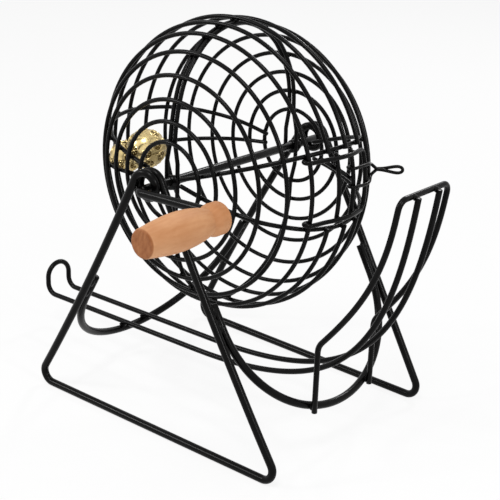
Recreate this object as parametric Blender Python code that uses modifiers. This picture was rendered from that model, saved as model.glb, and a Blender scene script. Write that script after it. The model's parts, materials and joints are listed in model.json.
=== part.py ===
"""Bingo cage: a wire cage on a cranked axle, two wire A-frames and a ball tray, in metres, +Z up.

The axle runs along Y. The crank is on the near side (-Y) and the ball tray on the front side (+X).
"""
import math

import bmesh
import bpy
from mathutils import Matrix, Vector

COLLECTION_NAME = "bingo_cage"

# Clearances
seat_gap = 0.0003
running_gap = 0.00045
hook_gap = 0.0005
bore_gap = 0.00008

# Stand
frame_wire_radius = 0.00275
near_left_base = (-0.1146, -0.0856)
near_right_base = (0.1156, -0.0838)
far_left_base = (-0.1110, 0.0880)
far_right_base = (0.1164, 0.0824)
near_left_bow = 0.0028
near_right_bow = 0.0030
far_left_bow = -0.0030
far_right_bow = 0.0
leg_steps = 4
base_corner_radius = 0.0080
axle_height = 0.1768
eye_half_spacing = 0.0869
eye_mean_radius = 0.0085
eye_steps_per_turn = 16

# Spreaders
spreader_straight_share = 0.20
front_spreader_top = 0.1080
front_spreader_bottom = 0.0285
rear_spreader_top = 0.0990
rear_spreader_bottom = 0.0221
spreader_steps = 8

# Ball tray
tray_wire_radius = 0.0020
tray_half_width = 0.0280
tray_foot_half_width = 0.0308
tray_foot_height = 0.0300
tray_bend_height = 0.0790
tray_bend_radius = 0.0120
tray_lean_angle = math.radians(49.0)
tray_top_x = 0.1528
tray_top_height = 0.1905
tray_lower_handle = 0.0460
tray_upper_handle = 0.0520
tray_top_lean = math.radians(83.5)
tray_corner_radius = 0.0065

# Ball rails
rail_half_gap = 0.0110
rail_top_near_y = -0.0138
rail_top_far_y = 0.0102
rail_slope = math.radians(0.7)
rail_bend_x = -0.0250
rail_lower_handle = 0.1300
rail_upper_handle = 0.1150
rail_top_lean = math.radians(83.0)
rail_back_x = -0.1890
rail_back_bend_radius = 0.0080
rail_stop_height = 0.0508
rail_steps = 10

# Cage
cage_wire_radius = 0.0015
near_pole_y = -0.0678
far_pole_y = 0.0645
ring_radii = (0.0267, 0.0400, 0.0538, 0.0686, 0.0824, 0.0928, 0.0984, 0.1008,
              0.0984, 0.0930, 0.0828, 0.0690, 0.0544, 0.0404, 0.0266)
ring_ys = (-0.0675, -0.0662, -0.0633, -0.0577, -0.0469, -0.0347, -0.0213, -0.0059,
           0.0102, 0.0257, 0.0412, 0.0523, 0.0596, 0.0627, 0.0635)
ring_steps_least = 20
ring_steps_most = 30
profile_steps = 40
rib_end_inset = 0.0045
rib_pair_half_spacing = 0.0020

# Crank
axle_radius = 0.0030
axle_far_overhang = 0.0010
crank_arm_gap = 0.0009
crank_radius = 0.0745
crank_tilt = math.radians(1.7)
crank_bend_radius = 0.0060
spindle_bend_radius = 0.0036
bend_steps = 5

# Wooden grip
grip_length = 0.0660
grip_end_radius = 0.0091
grip_barrel_radius = 0.0118
grip_neck_radius = 0.0086
grip_flare_radius = 0.0103
grip_edge_radius = 0.0018
grip_flare_length = 0.0130
grip_flare_share = 0.55
grip_swell_share = 0.85
grip_bore_depth = 0.0590
grip_steps = 20

# Cage openings and ribs, as angles round the axle from +X towards +Z
gate_top_angle = math.radians(18.5)
gate_bottom_angle = math.radians(-12.4)
back_upper_angle = math.radians(167.7)
back_lower_angle = math.radians(184.8)
gate_hinge_ring = 5
gate_catch_ring = 9
interrupted_rings = (6, 7, 8)
interruption_inset = math.radians(0.9)

# Gate
gate_half_height = 0.0203
gate_middle_angle = math.radians(3.6)
gate_lift = 0.0010
gate_end_y = 0.0155
gate_corner_radius = 0.0045
gate_flush_run = 0.0090
gate_bar_places = (-0.0132, 0.0024)
gate_bar_overrun = 0.0010
hook_sweep = math.radians(215.0)
hook_steps = 8
gate_side_steps = 7
gate_bar_steps = 6
brace_start_y = -0.0250
brace_knee_y = 0.0085
brace_knee_height = -0.0005
brace_end_y = 0.0120
brace_ramp_share = 0.30
brace_steps = 6

# Latch
latch_wire_radius = 0.0011
latch_height = 0.0042
latch_arm_half_spread = 0.0062
latch_twist_run = 0.0028
latch_twist_rise = 0.0030
latch_loop_length = 0.0165
latch_loop_angle = math.radians(62.0)
latch_loop_half_width = 0.0020
latch_twist_gap = 0.0005
latch_loop_steps = 12
latch_draw_share = 0.45
latch_swell_share = 1.3

# Brass bells
bell_large_radius = 0.0138
bell_small_radius = 0.0118
bell_large_share = 0.168
bell_small_angle = math.radians(179.4)
bell_band_height = 0.0030
bell_band_depth = 0.0008
bell_mouth_radius = 0.0046
bell_wall = 0.0011
bell_rim_width = 0.0012
bell_boss_radius = 0.0036
bell_boss_height = 0.0012
bell_steps = 16
bell_profile_steps = 5
bell_inside_steps = 7

# Materials: base colour, metallic, roughness
MATERIALS = {
    "black_frame": ((0.020, 0.020, 0.021, 1.0), 0.2, 0.42),
    "black_cage": ((0.018, 0.018, 0.019, 1.0), 0.2, 0.38),
    "beech_wood": ((0.640, 0.330, 0.150, 1.0), 0.0, 0.55),
    "brass": ((0.780, 0.560, 0.220, 1.0), 1.0, 0.28),
}


def clear_scene():
    """Remove every object that the file opened with."""
    for item in list(bpy.data.objects):
        bpy.data.objects.remove(item, do_unlink=True)


def new_collection(name):
    """A collection linked to the scene."""
    collection = bpy.data.collections.new(name)
    bpy.context.scene.collection.children.link(collection)
    return collection


def material_for(node, slot):
    """A Principled material of a node's own, with its slot's colour and finish."""
    colour, metallic, roughness = MATERIALS[slot]
    material = bpy.data.materials.new(node)
    material.use_nodes = True
    shader = material.node_tree.nodes["Principled BSDF"]
    shader.inputs["Base Color"].default_value = colour
    shader.inputs["Metallic"].default_value = metallic
    shader.inputs["Roughness"].default_value = roughness
    return material


def pivot_at(name, place, parent=None):
    """An empty on a joint's axis, which carries the pieces that move with it."""
    pivot = bpy.data.objects.new(name, None)
    COLLECTION.objects.link(pivot)
    pivot.empty_display_size = axle_radius
    pivot.location = place if parent is None else place - PLACES[parent.name]
    pivot.parent = parent
    PLACES[name] = place
    return pivot


def attach(item, pivot):
    """Hand a piece that was built in world places to its pivot."""
    if pivot is not None:
        item.data.transform(Matrix.Translation(-PLACES[pivot.name]))
        item.parent = pivot


def tube(name, points, radius, slot, pivot=None, closed=False, resolution=1):
    """A wire of round section along points."""
    curve = bpy.data.curves.new(name, "CURVE")
    curve.dimensions = "3D"
    curve.bevel_depth = radius
    curve.bevel_resolution = resolution
    curve.use_fill_caps = not closed
    spline = curve.splines.new("POLY")
    spline.points.add(len(points) - 1)
    for place, point in zip(points, spline.points):
        point.co = (place.x, place.y, place.z, 1.0)
    spline.use_cyclic_u = closed
    spline.use_smooth = True
    curve.materials.append(material_for(name, slot))
    item = bpy.data.objects.new(name, curve)
    COLLECTION.objects.link(item)
    attach(item, pivot)
    return item


def turned(name, outline, slot, steps, turn, pivot=None):
    """A turned solid: an outline of (radius, height) pairs, spun about Z and then placed by turn."""
    mesh = bpy.data.meshes.new(name)
    form = bmesh.new()
    corners = [form.verts.new((radius, 0.0, height)) for radius, height in outline]
    for first, second in zip(corners, corners[1:]):
        form.edges.new((first, second))
    form.to_mesh(mesh)
    form.free()
    mesh.materials.append(material_for(name, slot))
    item = bpy.data.objects.new(name, mesh)
    COLLECTION.objects.link(item)
    screw = item.modifiers.new("turn", "SCREW")
    screw.steps = steps
    screw.render_steps = steps
    screw.use_merge_vertices = True
    screw.merge_threshold = 0.00001
    screw.use_smooth_shade = True
    origin = Vector() if pivot is None else PLACES[pivot.name]
    item.matrix_local = Matrix.Translation(-origin) @ turn
    item.parent = pivot
    return item


def corner(before, at, after, radius, steps=bend_steps):
    """Points of the round bend that replaces a sharp corner."""
    back = (before - at).normalized()
    ahead = (after - at).normalized()
    half = back.angle(ahead) / 2
    cut = radius / math.tan(half)
    centre = at + (back + ahead).normalized() * (radius / math.sin(half))
    start = at + back * cut - centre
    end = at + ahead * cut - centre
    sweep = math.pi - 2 * half
    points = []
    for step in range(steps + 1):
        angle = sweep * step / steps
        spread = (start * math.sin(sweep - angle) + end * math.sin(angle)) / math.sin(sweep)
        points.append(centre + spread)
    return points


def bezier(start, start_handle, end_handle, end, steps):
    """Points of a cubic curve between two places."""
    points = []
    for step in range(steps + 1):
        t = step / steps
        s = 1 - t
        points.append(start * s ** 3 + start_handle * (3 * s * s * t) + end_handle * (3 * s * t * t) + end * t ** 3)
    return points


def smooth_span(before, start, end, after):
    """Points of a smooth curve from start up to end, both outer points giving its headings."""
    length = (end - start).length
    leaving = (end - before) * (length / ((start - before).length + length))
    arriving = (after - start) * (length / ((after - end).length + length))
    return bezier(start, start + leaving / 3, end - arriving / 3, end, profile_steps)


def cage_profile():
    """Samples of the cage's outline from near pole through every ring to far pole: (arc length, radius, y)."""
    stops = [Vector(stop) for stop in zip(ring_radii, ring_ys)]
    stops = [Vector((0.0, near_pole_y))] + stops + [Vector((0.0, far_pole_y))]
    flip = Vector((-1.0, 1.0))
    stops = [stops[1] * flip] + stops + [stops[-2] * flip]
    points = [stops[1]]
    for span in zip(stops, stops[1:], stops[2:], stops[3:]):
        points += smooth_span(*span)[1:]
    samples = [(0.0, points[0].x, points[0].y)]
    for point in points[1:]:
        run, radius, place = samples[-1]
        samples.append((run + math.hypot(point.x - radius, point.y - place), point.x, point.y))
    return samples


def meridian(share):
    """Radius, y and outward normal of the outline at a share of its arc."""
    target = share * PROFILE[-1][0]
    low, high = 0, len(PROFILE) - 1
    while high - low > 1:
        middle = (low + high) // 2
        if PROFILE[middle][0] <= target:
            low = middle
        else:
            high = middle
    run_low, radius_low, y_low = PROFILE[low]
    run_high, radius_high, y_high = PROFILE[high]
    part = (target - run_low) / (run_high - run_low)
    along = Vector((radius_high - radius_low, y_high - y_low)).normalized()
    radius = radius_low + (radius_high - radius_low) * part
    return radius, y_low + (y_high - y_low) * part, Vector((along.y, -along.x))


def lifted(share, lift):
    """Radius and y of a point that stands off the outline by lift."""
    radius, place, normal = meridian(share)
    return radius + normal.x * lift, place + normal.y * lift


def round_axle(radius, place, angle):
    """World place of a point at a radius and an angle round the axle."""
    return Vector((radius * math.cos(angle), place, axle_height + radius * math.sin(angle)))


def share_at_radius(radius, lift):
    """Share of the near half's arc where the lifted outline has a radius."""
    low, high = 0.0, 0.5
    while high - low > 0.00001:
        middle = (low + high) / 2
        if lifted(middle, lift)[0] < radius:
            low = middle
        else:
            high = middle
    return high


def share_at_y(place):
    """Share of the arc where the outline has a y."""
    low, high = 0.0, 1.0
    while high - low > 0.00001:
        middle = (low + high) / 2
        if meridian(middle)[1] < place:
            low = middle
        else:
            high = middle
    return high


def radius_at_y(place, lift=0.0):
    """Radius of the lifted outline near a y."""
    share = share_at_y(place)
    return lifted(share, lift)[0]


# An A-frame: one wire that runs along the floor, up both legs and once and a third round the axle
def eye_centre_height():
    """Height of the eye's middle, with the axle lying in the bottom of the eye."""
    return axle_height + eye_mean_radius - frame_wire_radius - axle_radius - running_gap


def base_corner(side, end):
    """Place of a base's corner: side is +1 at the front, end is -1 at the near frame."""
    near, far = (near_left_base, far_left_base) if side < 0 else (near_right_base, far_right_base)
    x, y = near if end < 0 else far
    return Vector((x, y, frame_wire_radius))


def leg_bow(side, end):
    """How far the middle of a leg stands towards the other leg."""
    near, far = (near_left_bow, far_left_bow) if side < 0 else (near_right_bow, far_right_bow)
    return near if end < 0 else far


def leg_touch_angle(side, end):
    """Angle round the eye, from the leg's own side, at which a leg leaves it."""
    rise = frame_wire_radius - eye_centre_height()
    across = abs(base_corner(side, end).x)
    return math.atan2(rise, across) + math.acos(eye_mean_radius / math.hypot(across, rise))


def eye_pitch():
    """Side step of the eye's wire in one turn."""
    return 2 * frame_wire_radius + running_gap


def eye_sweep(end):
    """Angle that the wire goes round the eye."""
    return 3 * math.pi - leg_touch_angle(-1, end) - leg_touch_angle(1, end)


def eye_side_step():
    """How far each leg's top stands from the eye's middle along the axle."""
    return eye_pitch() * max(eye_sweep(-1), eye_sweep(1)) / (4 * math.pi)


def eye_path(end):
    """Points of a frame's eye, from the leg that leaves it farthest up the axle to the other one."""
    middle = Vector((0.0, end * eye_half_spacing, eye_centre_height()))
    steps = round(eye_steps_per_turn * eye_sweep(end) / (2 * math.pi))
    points = []
    for step in range(steps + 1):
        part = step / steps
        angle = leg_touch_angle(-end, end) + eye_sweep(end) * part
        across = -end * eye_mean_radius * math.cos(angle)
        shift = -end * eye_side_step() * (1 - 2 * part)
        points.append(middle + Vector((across, shift, eye_mean_radius * math.sin(angle))))
    return points


def leg_point(height, side, end):
    """Centre of a leg at a height: side is +1 at the front, end is -1 at the near frame."""
    base = base_corner(side, end)
    eye = eye_path(end)
    top = eye[0] if side == -end else eye[-1]
    part = (height - base.z) / (top.z - base.z)
    bow = -side * leg_bow(side, end) * 4 * part * (1 - part)
    return base + (top - base) * part + Vector((bow, 0.0, 0.0))


def leg_run(side, end):
    """Points of a leg between its base corner and its eye, from the bottom up."""
    top = eye_path(end)[0].z
    heights = [frame_wire_radius + (top - frame_wire_radius) * step / leg_steps for step in range(1, leg_steps)]
    return [leg_point(height, side, end) for height in heights]


def frame_path(end):
    """Points of an A-frame, as a closed loop: end is -1 for the near one, +1 for the far one."""
    first, last = base_corner(-end, end), base_corner(end, end)
    rise, fall = leg_run(-end, end), leg_run(end, end)[::-1]
    bend_first = corner(last, first, rise[0], base_corner_radius)
    bend_last = corner(fall[-1], last, first, base_corner_radius)
    return bend_first + rise + eye_path(end) + fall + bend_last


def eye_self_gap(end):
    """Least gap between two turns of the eye, measured on its points."""
    turn = eye_steps_per_turn
    eye = eye_path(end)
    return min((eye[index + turn] - eye[index]).length for index in range(len(eye) - turn)) - 2 * frame_wire_radius


def spreader_path(side, top, bottom):
    """A hanging U between a near and a far leg, in the legs' plane."""
    beside = 2 * frame_wire_radius + seat_gap
    turn_height = top - (top - bottom) * spreader_straight_share
    sides = []
    for end in (-1, 1):
        upper = leg_point(top, side, end)
        lower = leg_point(turn_height, side, end)
        shift = Vector((0.0, -end * beside, 0.0))
        sides.append((upper + shift, lower + shift))
    (near_top, near_turn), (far_top, far_turn) = sides
    centre = (near_turn.y + far_turn.y) / 2
    half = (far_turn.y - near_turn.y) / 2
    points = [near_top]
    for step in range(2 * spreader_steps + 1):
        angle = math.pi * step / (2 * spreader_steps)
        height = turn_height - (turn_height - bottom) * math.sin(angle)
        near_x, far_x = (leg_point(height, side, end).x for end in (-1, 1))
        x = near_x + (far_x - near_x) * (1 - math.cos(angle)) / 2
        points.append(Vector((x, centre - half * math.cos(angle), height)))
    points.append(far_top)
    return points


def crossing(path, depth):
    """Where a spreader passes a y, and its heading seen from above."""
    first = max((point for point in path if point.y <= depth), key=lambda point: point.y)
    second = min((point for point in path if point.y > depth), key=lambda point: point.y)
    heading = second - first
    place = first + heading * ((depth - first.y) / heading.y)
    return place, Vector((heading.x, heading.y)).normalized()


def rail_support():
    """Where the rails' straight run lies on the rear spreader: its x and the rails' height there."""
    path = spreader_path(-1, rear_spreader_top, rear_spreader_bottom)
    edge = rail_half_gap + tray_wire_radius
    under = max((crossing(path, side * edge)[0] for side in (-1, 1)), key=lambda place: place.z)
    return under.x, under.z + (frame_wire_radius + tray_wire_radius + seat_gap) / math.cos(rail_slope)


def rail_side(end, top_y):
    """One rail from its top, down over the tray and back to the foot of the hairpin."""
    along = Vector((math.cos(rail_slope), 0.0, math.sin(rail_slope)))
    support_x, support_height = rail_support()
    support = Vector((support_x, end * rail_half_gap, support_height))
    top = Vector((tray_top_x + 2 * tray_wire_radius + seat_gap, top_y, tray_top_height))
    bend = support + along * ((rail_bend_x - support_x) / along.x)
    lean = Vector((math.cos(rail_top_lean), 0.0, math.sin(rail_top_lean)))
    side = bezier(top, top - lean * rail_upper_handle, bend + along * rail_lower_handle, bend, rail_steps)
    foot = support + along * ((rail_back_x - support_x) / along.x)
    arch = Vector((rail_back_x, foot.y, rail_stop_height - rail_half_gap))
    return side + corner(bend, foot, arch, rail_back_bend_radius) + [arch]


def rail_path():
    """Both rails as one wire with an upturned hairpin at the back."""
    near = rail_side(-1, rail_top_near_y)
    arch = near[-1]
    stop = []
    for step in range(1, 2 * bend_steps):
        angle = math.pi * step / (2 * bend_steps)
        rise = Vector((0.0, -rail_half_gap * math.cos(angle), rail_half_gap * math.sin(angle)))
        stop.append(Vector((arch.x, 0.0, arch.z)) + rise)
    return near + stop + rail_side(1, rail_top_far_y)[::-1]


def tray_side(end):
    """One leg and curved side of the tray, up to the middle of the crossbar's corner."""
    spreader, heading = crossing(spreader_path(1, front_spreader_top, front_spreader_bottom),
                                 end * tray_foot_half_width)
    foot_x = spreader.x + (frame_wire_radius + tray_wire_radius + seat_gap) / heading.y
    foot = Vector((foot_x, end * tray_foot_half_width, tray_foot_height))
    knee = Vector((foot_x, end * tray_foot_half_width, tray_bend_height))
    lean = Vector((math.cos(tray_lean_angle), 0.0, math.sin(tray_lean_angle)))
    top = Vector((tray_top_x, end * tray_half_width, tray_top_height))
    top_lean = Vector((math.cos(tray_top_lean), 0.0, math.sin(tray_top_lean)))
    side = bezier(knee, knee + lean * tray_lower_handle, top - top_lean * tray_upper_handle, top, rail_steps)
    cut = tray_bend_radius * math.tan((math.pi / 2 - tray_lean_angle) / 2)
    side = [point for point in side if (point - knee).length > cut + tray_wire_radius]
    side = [point for point in side if (point - top).length > tray_corner_radius + tray_wire_radius]
    crossbar_middle = Vector((top.x, 0.0, top.z))
    points = [foot] + corner(foot, knee, knee + lean, tray_bend_radius) + side
    return points + corner(top - top_lean, top, crossbar_middle, tray_corner_radius)


def tray_path():
    """The tray's outer wire: two legs, two curved sides and a crossbar."""
    return tray_side(-1) + tray_side(1)[::-1]


def add_stand():
    """The fixed wires: two A-frames, two spreaders, the tray and its rails."""
    print("least gap between turns of an eye:", round(min(eye_self_gap(end) for end in (-1, 1)), 6))
    tube("near_a_frame", frame_path(-1), frame_wire_radius, "black_frame", closed=True, resolution=2)
    tube("far_a_frame", frame_path(1), frame_wire_radius, "black_frame", closed=True, resolution=2)
    front = spreader_path(1, front_spreader_top, front_spreader_bottom)
    rear = spreader_path(-1, rear_spreader_top, rear_spreader_bottom)
    tube("front_spreader", front, frame_wire_radius, "black_frame", resolution=2)
    tube("rear_spreader", rear, frame_wire_radius, "black_frame", resolution=2)
    tube("ball_rails", rail_path(), tray_wire_radius, "black_frame", resolution=2)
    tube("tray_frame", tray_path(), tray_wire_radius, "black_frame", resolution=2)


def crank_arm_offset():
    """Distance of the crank arm from the cage's middle, just past the eye."""
    return eye_half_spacing + eye_side_step() + frame_wire_radius + axle_radius + crank_arm_gap


def grip_start():
    """Distance of the grip's inner end from the cage's middle, just past the crank arm's bend."""
    return crank_arm_offset() + max(axle_radius, spindle_bend_radius) + seat_gap


def crank_path():
    """The axle, the crank arm and the spindle as one bent rod."""
    far = Vector((0.0, eye_half_spacing + eye_side_step() + frame_wire_radius + axle_far_overhang, axle_height))
    bend = Vector((0.0, -crank_arm_offset(), axle_height))
    reach = Vector((crank_radius * math.cos(crank_tilt), 0.0, crank_radius * math.sin(crank_tilt)))
    knee = bend + reach
    tip = Vector((knee.x, -(grip_start() + grip_bore_depth - seat_gap), knee.z))
    return [far] + corner(far, bend, knee, crank_bend_radius) + corner(bend, knee, tip, spindle_bend_radius) + [tip]


def round_edge(radius, height, edge, upper):
    """Points of a turned piece's rounded rim, from its end face to its side or back."""
    points = []
    for step in range(bend_steps):
        angle = math.pi / 2 * step / (bend_steps - 1)
        inward = edge * (1 - math.sin(angle))
        down = edge * (1 - math.cos(angle))
        points.append((radius - inward, height - down if upper else height + down))
    return points if upper else points[::-1]


def grip_outline():
    """Half outline of the turned grip: blind bore, flared inner end, neck, barrel and flat outer end."""
    bore = axle_radius + bore_gap
    outline = [(0.0, -grip_bore_depth), (bore, -grip_bore_depth), (bore, 0.0)]
    outline += round_edge(grip_flare_radius, 0.0, grip_edge_radius, True)
    outline.append((grip_flare_radius, -grip_flare_length * grip_flare_share))
    barrel_steps = 2 * bend_steps
    barrel_length = grip_length - grip_flare_length - grip_edge_radius
    for step in range(barrel_steps):
        part = step / barrel_steps
        line = grip_neck_radius + (grip_end_radius - grip_neck_radius) * part
        swell = grip_barrel_radius - (grip_neck_radius + grip_end_radius) / 2
        bulge = swell * math.sin(math.pi * part ** grip_swell_share)
        outline.append((line + bulge, -(grip_flare_length + barrel_length * part)))
    outline += round_edge(grip_end_radius, -grip_length, grip_edge_radius, False)
    outline.append((0.0, -grip_length))
    return outline


def add_crank(cage_pivot):
    """The bent rod, and the wooden grip that spins on its spindle."""
    tube("crank_axle", crank_path(), axle_radius, "black_cage", cage_pivot, resolution=3)
    spindle = crank_path()[-1]
    place = Vector((spindle.x, -grip_start(), spindle.z))
    grip_pivot = pivot_at("grip_pivot", place, cage_pivot)
    turn = Matrix.Translation(place) @ Matrix.Rotation(-math.pi / 2, 4, "X")
    turned("wooden_grip", grip_outline(), "beech_wood", grip_steps, turn, grip_pivot)


def ring_shares():
    """Arc shares of all the rings, near pole to far pole."""
    return [PROFILE[(index + 1) * profile_steps][0] / PROFILE[-1][0] for index in range(len(ring_radii))]


def ring_path(share, start, sweep):
    """A ring, or the part of one from start over sweep, as points whose chords keep the ring's size."""
    radius, place, normal = meridian(share)
    full = round(ring_steps_least + (ring_steps_most - ring_steps_least) * radius / max(ring_radii))
    steps = max(3, round(full * sweep / (2 * math.pi)))
    outer = radius / math.cos(sweep / steps / 2)
    count = steps if sweep > 2 * math.pi - interruption_inset else steps + 1
    return [round_axle(outer, place, start + sweep * step / steps) for step in range(count)]


def add_rings(cage_pivot):
    """Fifteen hoops of the cage; the hoops behind the gate stop at the gate's ribs."""
    for index, share in enumerate(ring_shares()):
        name = "ring_%02d" % (index + 1)
        if index in interrupted_rings:
            start = gate_top_angle - interruption_inset
            sweep = 2 * math.pi - (gate_top_angle - gate_bottom_angle) + 2 * interruption_inset
            tube(name, ring_path(share, start, sweep), cage_wire_radius, "black_cage", cage_pivot)
        else:
            path = ring_path(share, 0.0, 2 * math.pi)
            tube(name, path, cage_wire_radius, "black_cage", cage_pivot, closed=True)


def rib_lift():
    """How far a rib's centre lies inside the rings' centres."""
    return -(2 * cage_wire_radius + seat_gap)


def rib_shares(first, last):
    """Arc shares of a rib's points: at each ring, between rings and at both ends."""
    rings = [share for share in ring_shares() if first < share < last]
    stops = [first] + rings + [last]
    shares = [first]
    for start, end in zip(stops, stops[1:]):
        shares += [(start + end) / 2, end]
    return shares


def rib_path(angle, first, last):
    """A rib that follows the cage's outline at one angle."""
    return [round_axle(*lifted(share, rib_lift()), angle) for share in rib_shares(first, last)]


def beside_axle():
    """How far a wire's centre stands to the side of the axle that it goes past."""
    return axle_radius + cage_wire_radius + seat_gap


def half_loop(side, rise):
    """Half of a loop that spreads round the axle: side is its x side, rise is +1 over the top, -1 under it."""
    least = share_at_radius(beside_axle() + cage_wire_radius, rib_lift())
    points = []
    for share in rib_shares(least, 1 - least):
        radius, place = lifted(share, rib_lift())
        spread = max(0.0, 1 - radius / ring_radii[0])
        offset = rib_pair_half_spacing + (beside_axle() - rib_pair_half_spacing) * min(1.0, spread * 2)
        height = math.sqrt(max(0.0, radius * radius - offset * offset))
        points.append(Vector((side * offset, place, axle_height + rise * height)))
    return points


def add_ribs(cage_pivot):
    """The wires that run from pole to pole inside the rings."""
    loop = half_loop(1, 1) + half_loop(1, -1)[::-1]
    tube("vertical_loop", loop, cage_wire_radius, "black_cage", cage_pivot, closed=True)
    top = half_loop(-1, 1)
    tail = Vector((0.0, 0.0, -2 * axle_radius))
    top = [top[0] + tail] + top + [top[-1] + tail]
    tube("top_rib", top, cage_wire_radius, "black_cage", cage_pivot)
    hub_share = share_at_radius(beside_axle() + 2 * cage_wire_radius, rib_lift())
    inner_radius = ring_radii[0] - rib_end_inset
    inner_share = share_at_radius(inner_radius, rib_lift())
    for name, angle in (("gate_top_rib", gate_top_angle), ("gate_bottom_rib", gate_bottom_angle)):
        tube(name, rib_path(angle, hub_share, 1 - inner_share), cage_wire_radius, "black_cage", cage_pivot)
    for name, angle in (("back_upper_rib", back_upper_angle), ("back_lower_rib", back_lower_angle)):
        tube(name, rib_path(angle, inner_share, 1 - inner_share), cage_wire_radius, "black_cage", cage_pivot)


# The gate has its own axes: height along its hinge, y along the axle and reach out from the axle
def gate_place(height, place, reach):
    """World place of a point in the gate's own axes."""
    along = Vector((-math.sin(gate_middle_angle), 0.0, math.cos(gate_middle_angle)))
    out = Vector((math.cos(gate_middle_angle), 0.0, math.sin(gate_middle_angle)))
    return Vector((0.0, place, axle_height)) + along * height + out * reach


def gate_reach(height, place, lift):
    """Reach of the lifted cage surface at a height and a y."""
    radius = radius_at_y(place, lift)
    return math.sqrt(radius * radius - height * height)


def gate_hinge():
    """Reach, y and outline directions of the gate's hinge, where the hooks go round a ring."""
    radius, place, normal = meridian(ring_shares()[gate_hinge_ring])
    return math.sqrt(radius * radius - gate_half_height * gate_half_height), place, normal


def hook(height, place, reach, normal, radius):
    """Points of a wire's hook from its tip, round the inner side, to the outer side of what it goes round."""
    along = Vector((-normal.y, normal.x))
    points = []
    for step in range(hook_steps):
        turn = hook_sweep * (1 - step / hook_steps)
        shift = normal * (radius * math.cos(turn)) - along * (radius * math.sin(turn))
        points.append(gate_place(height, place + shift.y, reach + shift.x))
    return points


def gate_side(height):
    """One side wire of the gate from its hook's tip to its end."""
    reach, place, normal = gate_hinge()
    radius = 2 * cage_wire_radius + hook_gap
    points = hook(height, place, reach, normal, radius)
    points.append(gate_place(height, place + normal.y * radius, reach + normal.x * radius))
    start = place + gate_flush_run
    for step in range(gate_side_steps + 1):
        at = start + (gate_end_y - start) * step / gate_side_steps
        points.append(gate_place(height, at, gate_reach(height, at, gate_lift)))
    return points


def gate_bar_lift():
    """How far a cross bar's centre stands off the rings' centres."""
    return gate_lift + rib_lift()


def gate_bar_path(place):
    """A cross bar inside the gate's side wires, bent like the cage."""
    half = gate_half_height + cage_wire_radius + gate_bar_overrun
    heights = [half * (1 - 2 * step / gate_bar_steps) for step in range(gate_bar_steps + 1)]
    return [gate_place(height, place, gate_reach(height, place, gate_bar_lift())) for height in heights]


def gate_frame_path():
    """The gate's U: hook, side, round corner, curved end, corner, side and hook."""
    upper = gate_side(gate_half_height)
    lower = gate_side(-gate_half_height)
    inner = gate_half_height - gate_corner_radius - cage_wire_radius
    heights = [inner * (1 - 2 * step / gate_bar_steps) for step in range(gate_bar_steps + 1)]
    end = [gate_place(height, gate_end_y, gate_reach(height, gate_end_y, gate_lift)) for height in heights]
    path = upper[:-1] + corner(upper[-2], upper[-1], end[0], gate_corner_radius)
    path += end + corner(end[-1], lower[-1], lower[-2], gate_corner_radius)
    return path + lower[:-1][::-1]


def brace_leg(start, end, rising):
    """One leg of the brace under the cross bars; its outer end comes up to a side wire."""
    points = []
    for step in range(brace_steps + 1):
        part = step / brace_steps
        height, place = start[0] + (end[0] - start[0]) * part, start[1] + (end[1] - start[1]) * part
        from_side = part if rising else 1 - part
        lift = gate_bar_lift() + rib_lift() * min(1.0, from_side / brace_ramp_share)
        points.append(gate_place(height, place, gate_reach(height, place, lift)))
    return points


def add_gate(cage_pivot):
    """The wire gate, which swings out on two hooks round a ring."""
    reach, place, normal = gate_hinge()
    gate_pivot = pivot_at("gate_pivot", gate_place(0.0, place, reach), cage_pivot)
    tube("gate_frame", gate_frame_path(), cage_wire_radius, "black_cage", gate_pivot)
    for index, bar_place in enumerate(gate_bar_places):
        tube("gate_bar_%d" % (index + 1), gate_bar_path(bar_place), cage_wire_radius, "black_cage", gate_pivot)
    knee = (brace_knee_height, brace_knee_y)
    first = brace_leg((gate_half_height, brace_start_y), knee, True)
    second = brace_leg(knee, (-gate_half_height, brace_end_y), False)
    tube("gate_brace", first + second[1:], cage_wire_radius, "black_cage", gate_pivot)
    return gate_pivot


def latch_arm(height):
    """One arm of the latch, from its hook on the outer cross bar, over the gate's end and the catch ring."""
    bar_y = gate_bar_places[1]
    hook_radius = cage_wire_radius + latch_wire_radius + hook_gap
    over = cage_wire_radius + latch_wire_radius + seat_gap
    bar_reach = gate_reach(height, bar_y, gate_bar_lift())
    outward = Vector((1.0, 0.0))
    points = hook(height, bar_y, bar_reach, outward, hook_radius)
    points.append(gate_place(height, bar_y, bar_reach + hook_radius))
    points.append(gate_place(height, gate_end_y, gate_reach(height, gate_end_y, gate_lift + over)))
    catch_y = meridian(ring_shares()[gate_catch_ring])[1]
    drawn = height + (latch_height - height) * latch_draw_share
    points.append(gate_place(drawn, catch_y, gate_reach(drawn, catch_y, 0.0) + over))
    return points


def latch_path():
    """The latch: two arms that cross in a twist, and the finger loop."""
    catch_y = meridian(ring_shares()[gate_catch_ring])[1]
    over = cage_wire_radius + latch_wire_radius + seat_gap
    reach = gate_reach(latch_height, catch_y, 0.0) + over + latch_twist_rise
    twist_y = catch_y + latch_twist_run
    twist_lift = latch_wire_radius + latch_twist_gap / 2
    upper = latch_arm(latch_height + latch_arm_half_spread)
    lower = latch_arm(latch_height - latch_arm_half_spread)
    outward = Vector((math.sin(latch_loop_angle), math.cos(latch_loop_angle)))
    loop = []
    for step in range(latch_loop_steps + 1):
        turn = 2 * math.pi * step / latch_loop_steps
        height = latch_height - latch_swell_share * latch_loop_half_width * math.sin(turn) * math.sin(turn / 2)
        along = latch_loop_length * (1 - math.cos(turn)) / 2
        lift = twist_lift * math.cos(turn / 2)
        place = twist_y + outward.y * along - outward.x * lift
        loop.append(gate_place(height, place, reach + outward.x * along + outward.y * lift))
    return upper + loop + lower[::-1]


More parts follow.
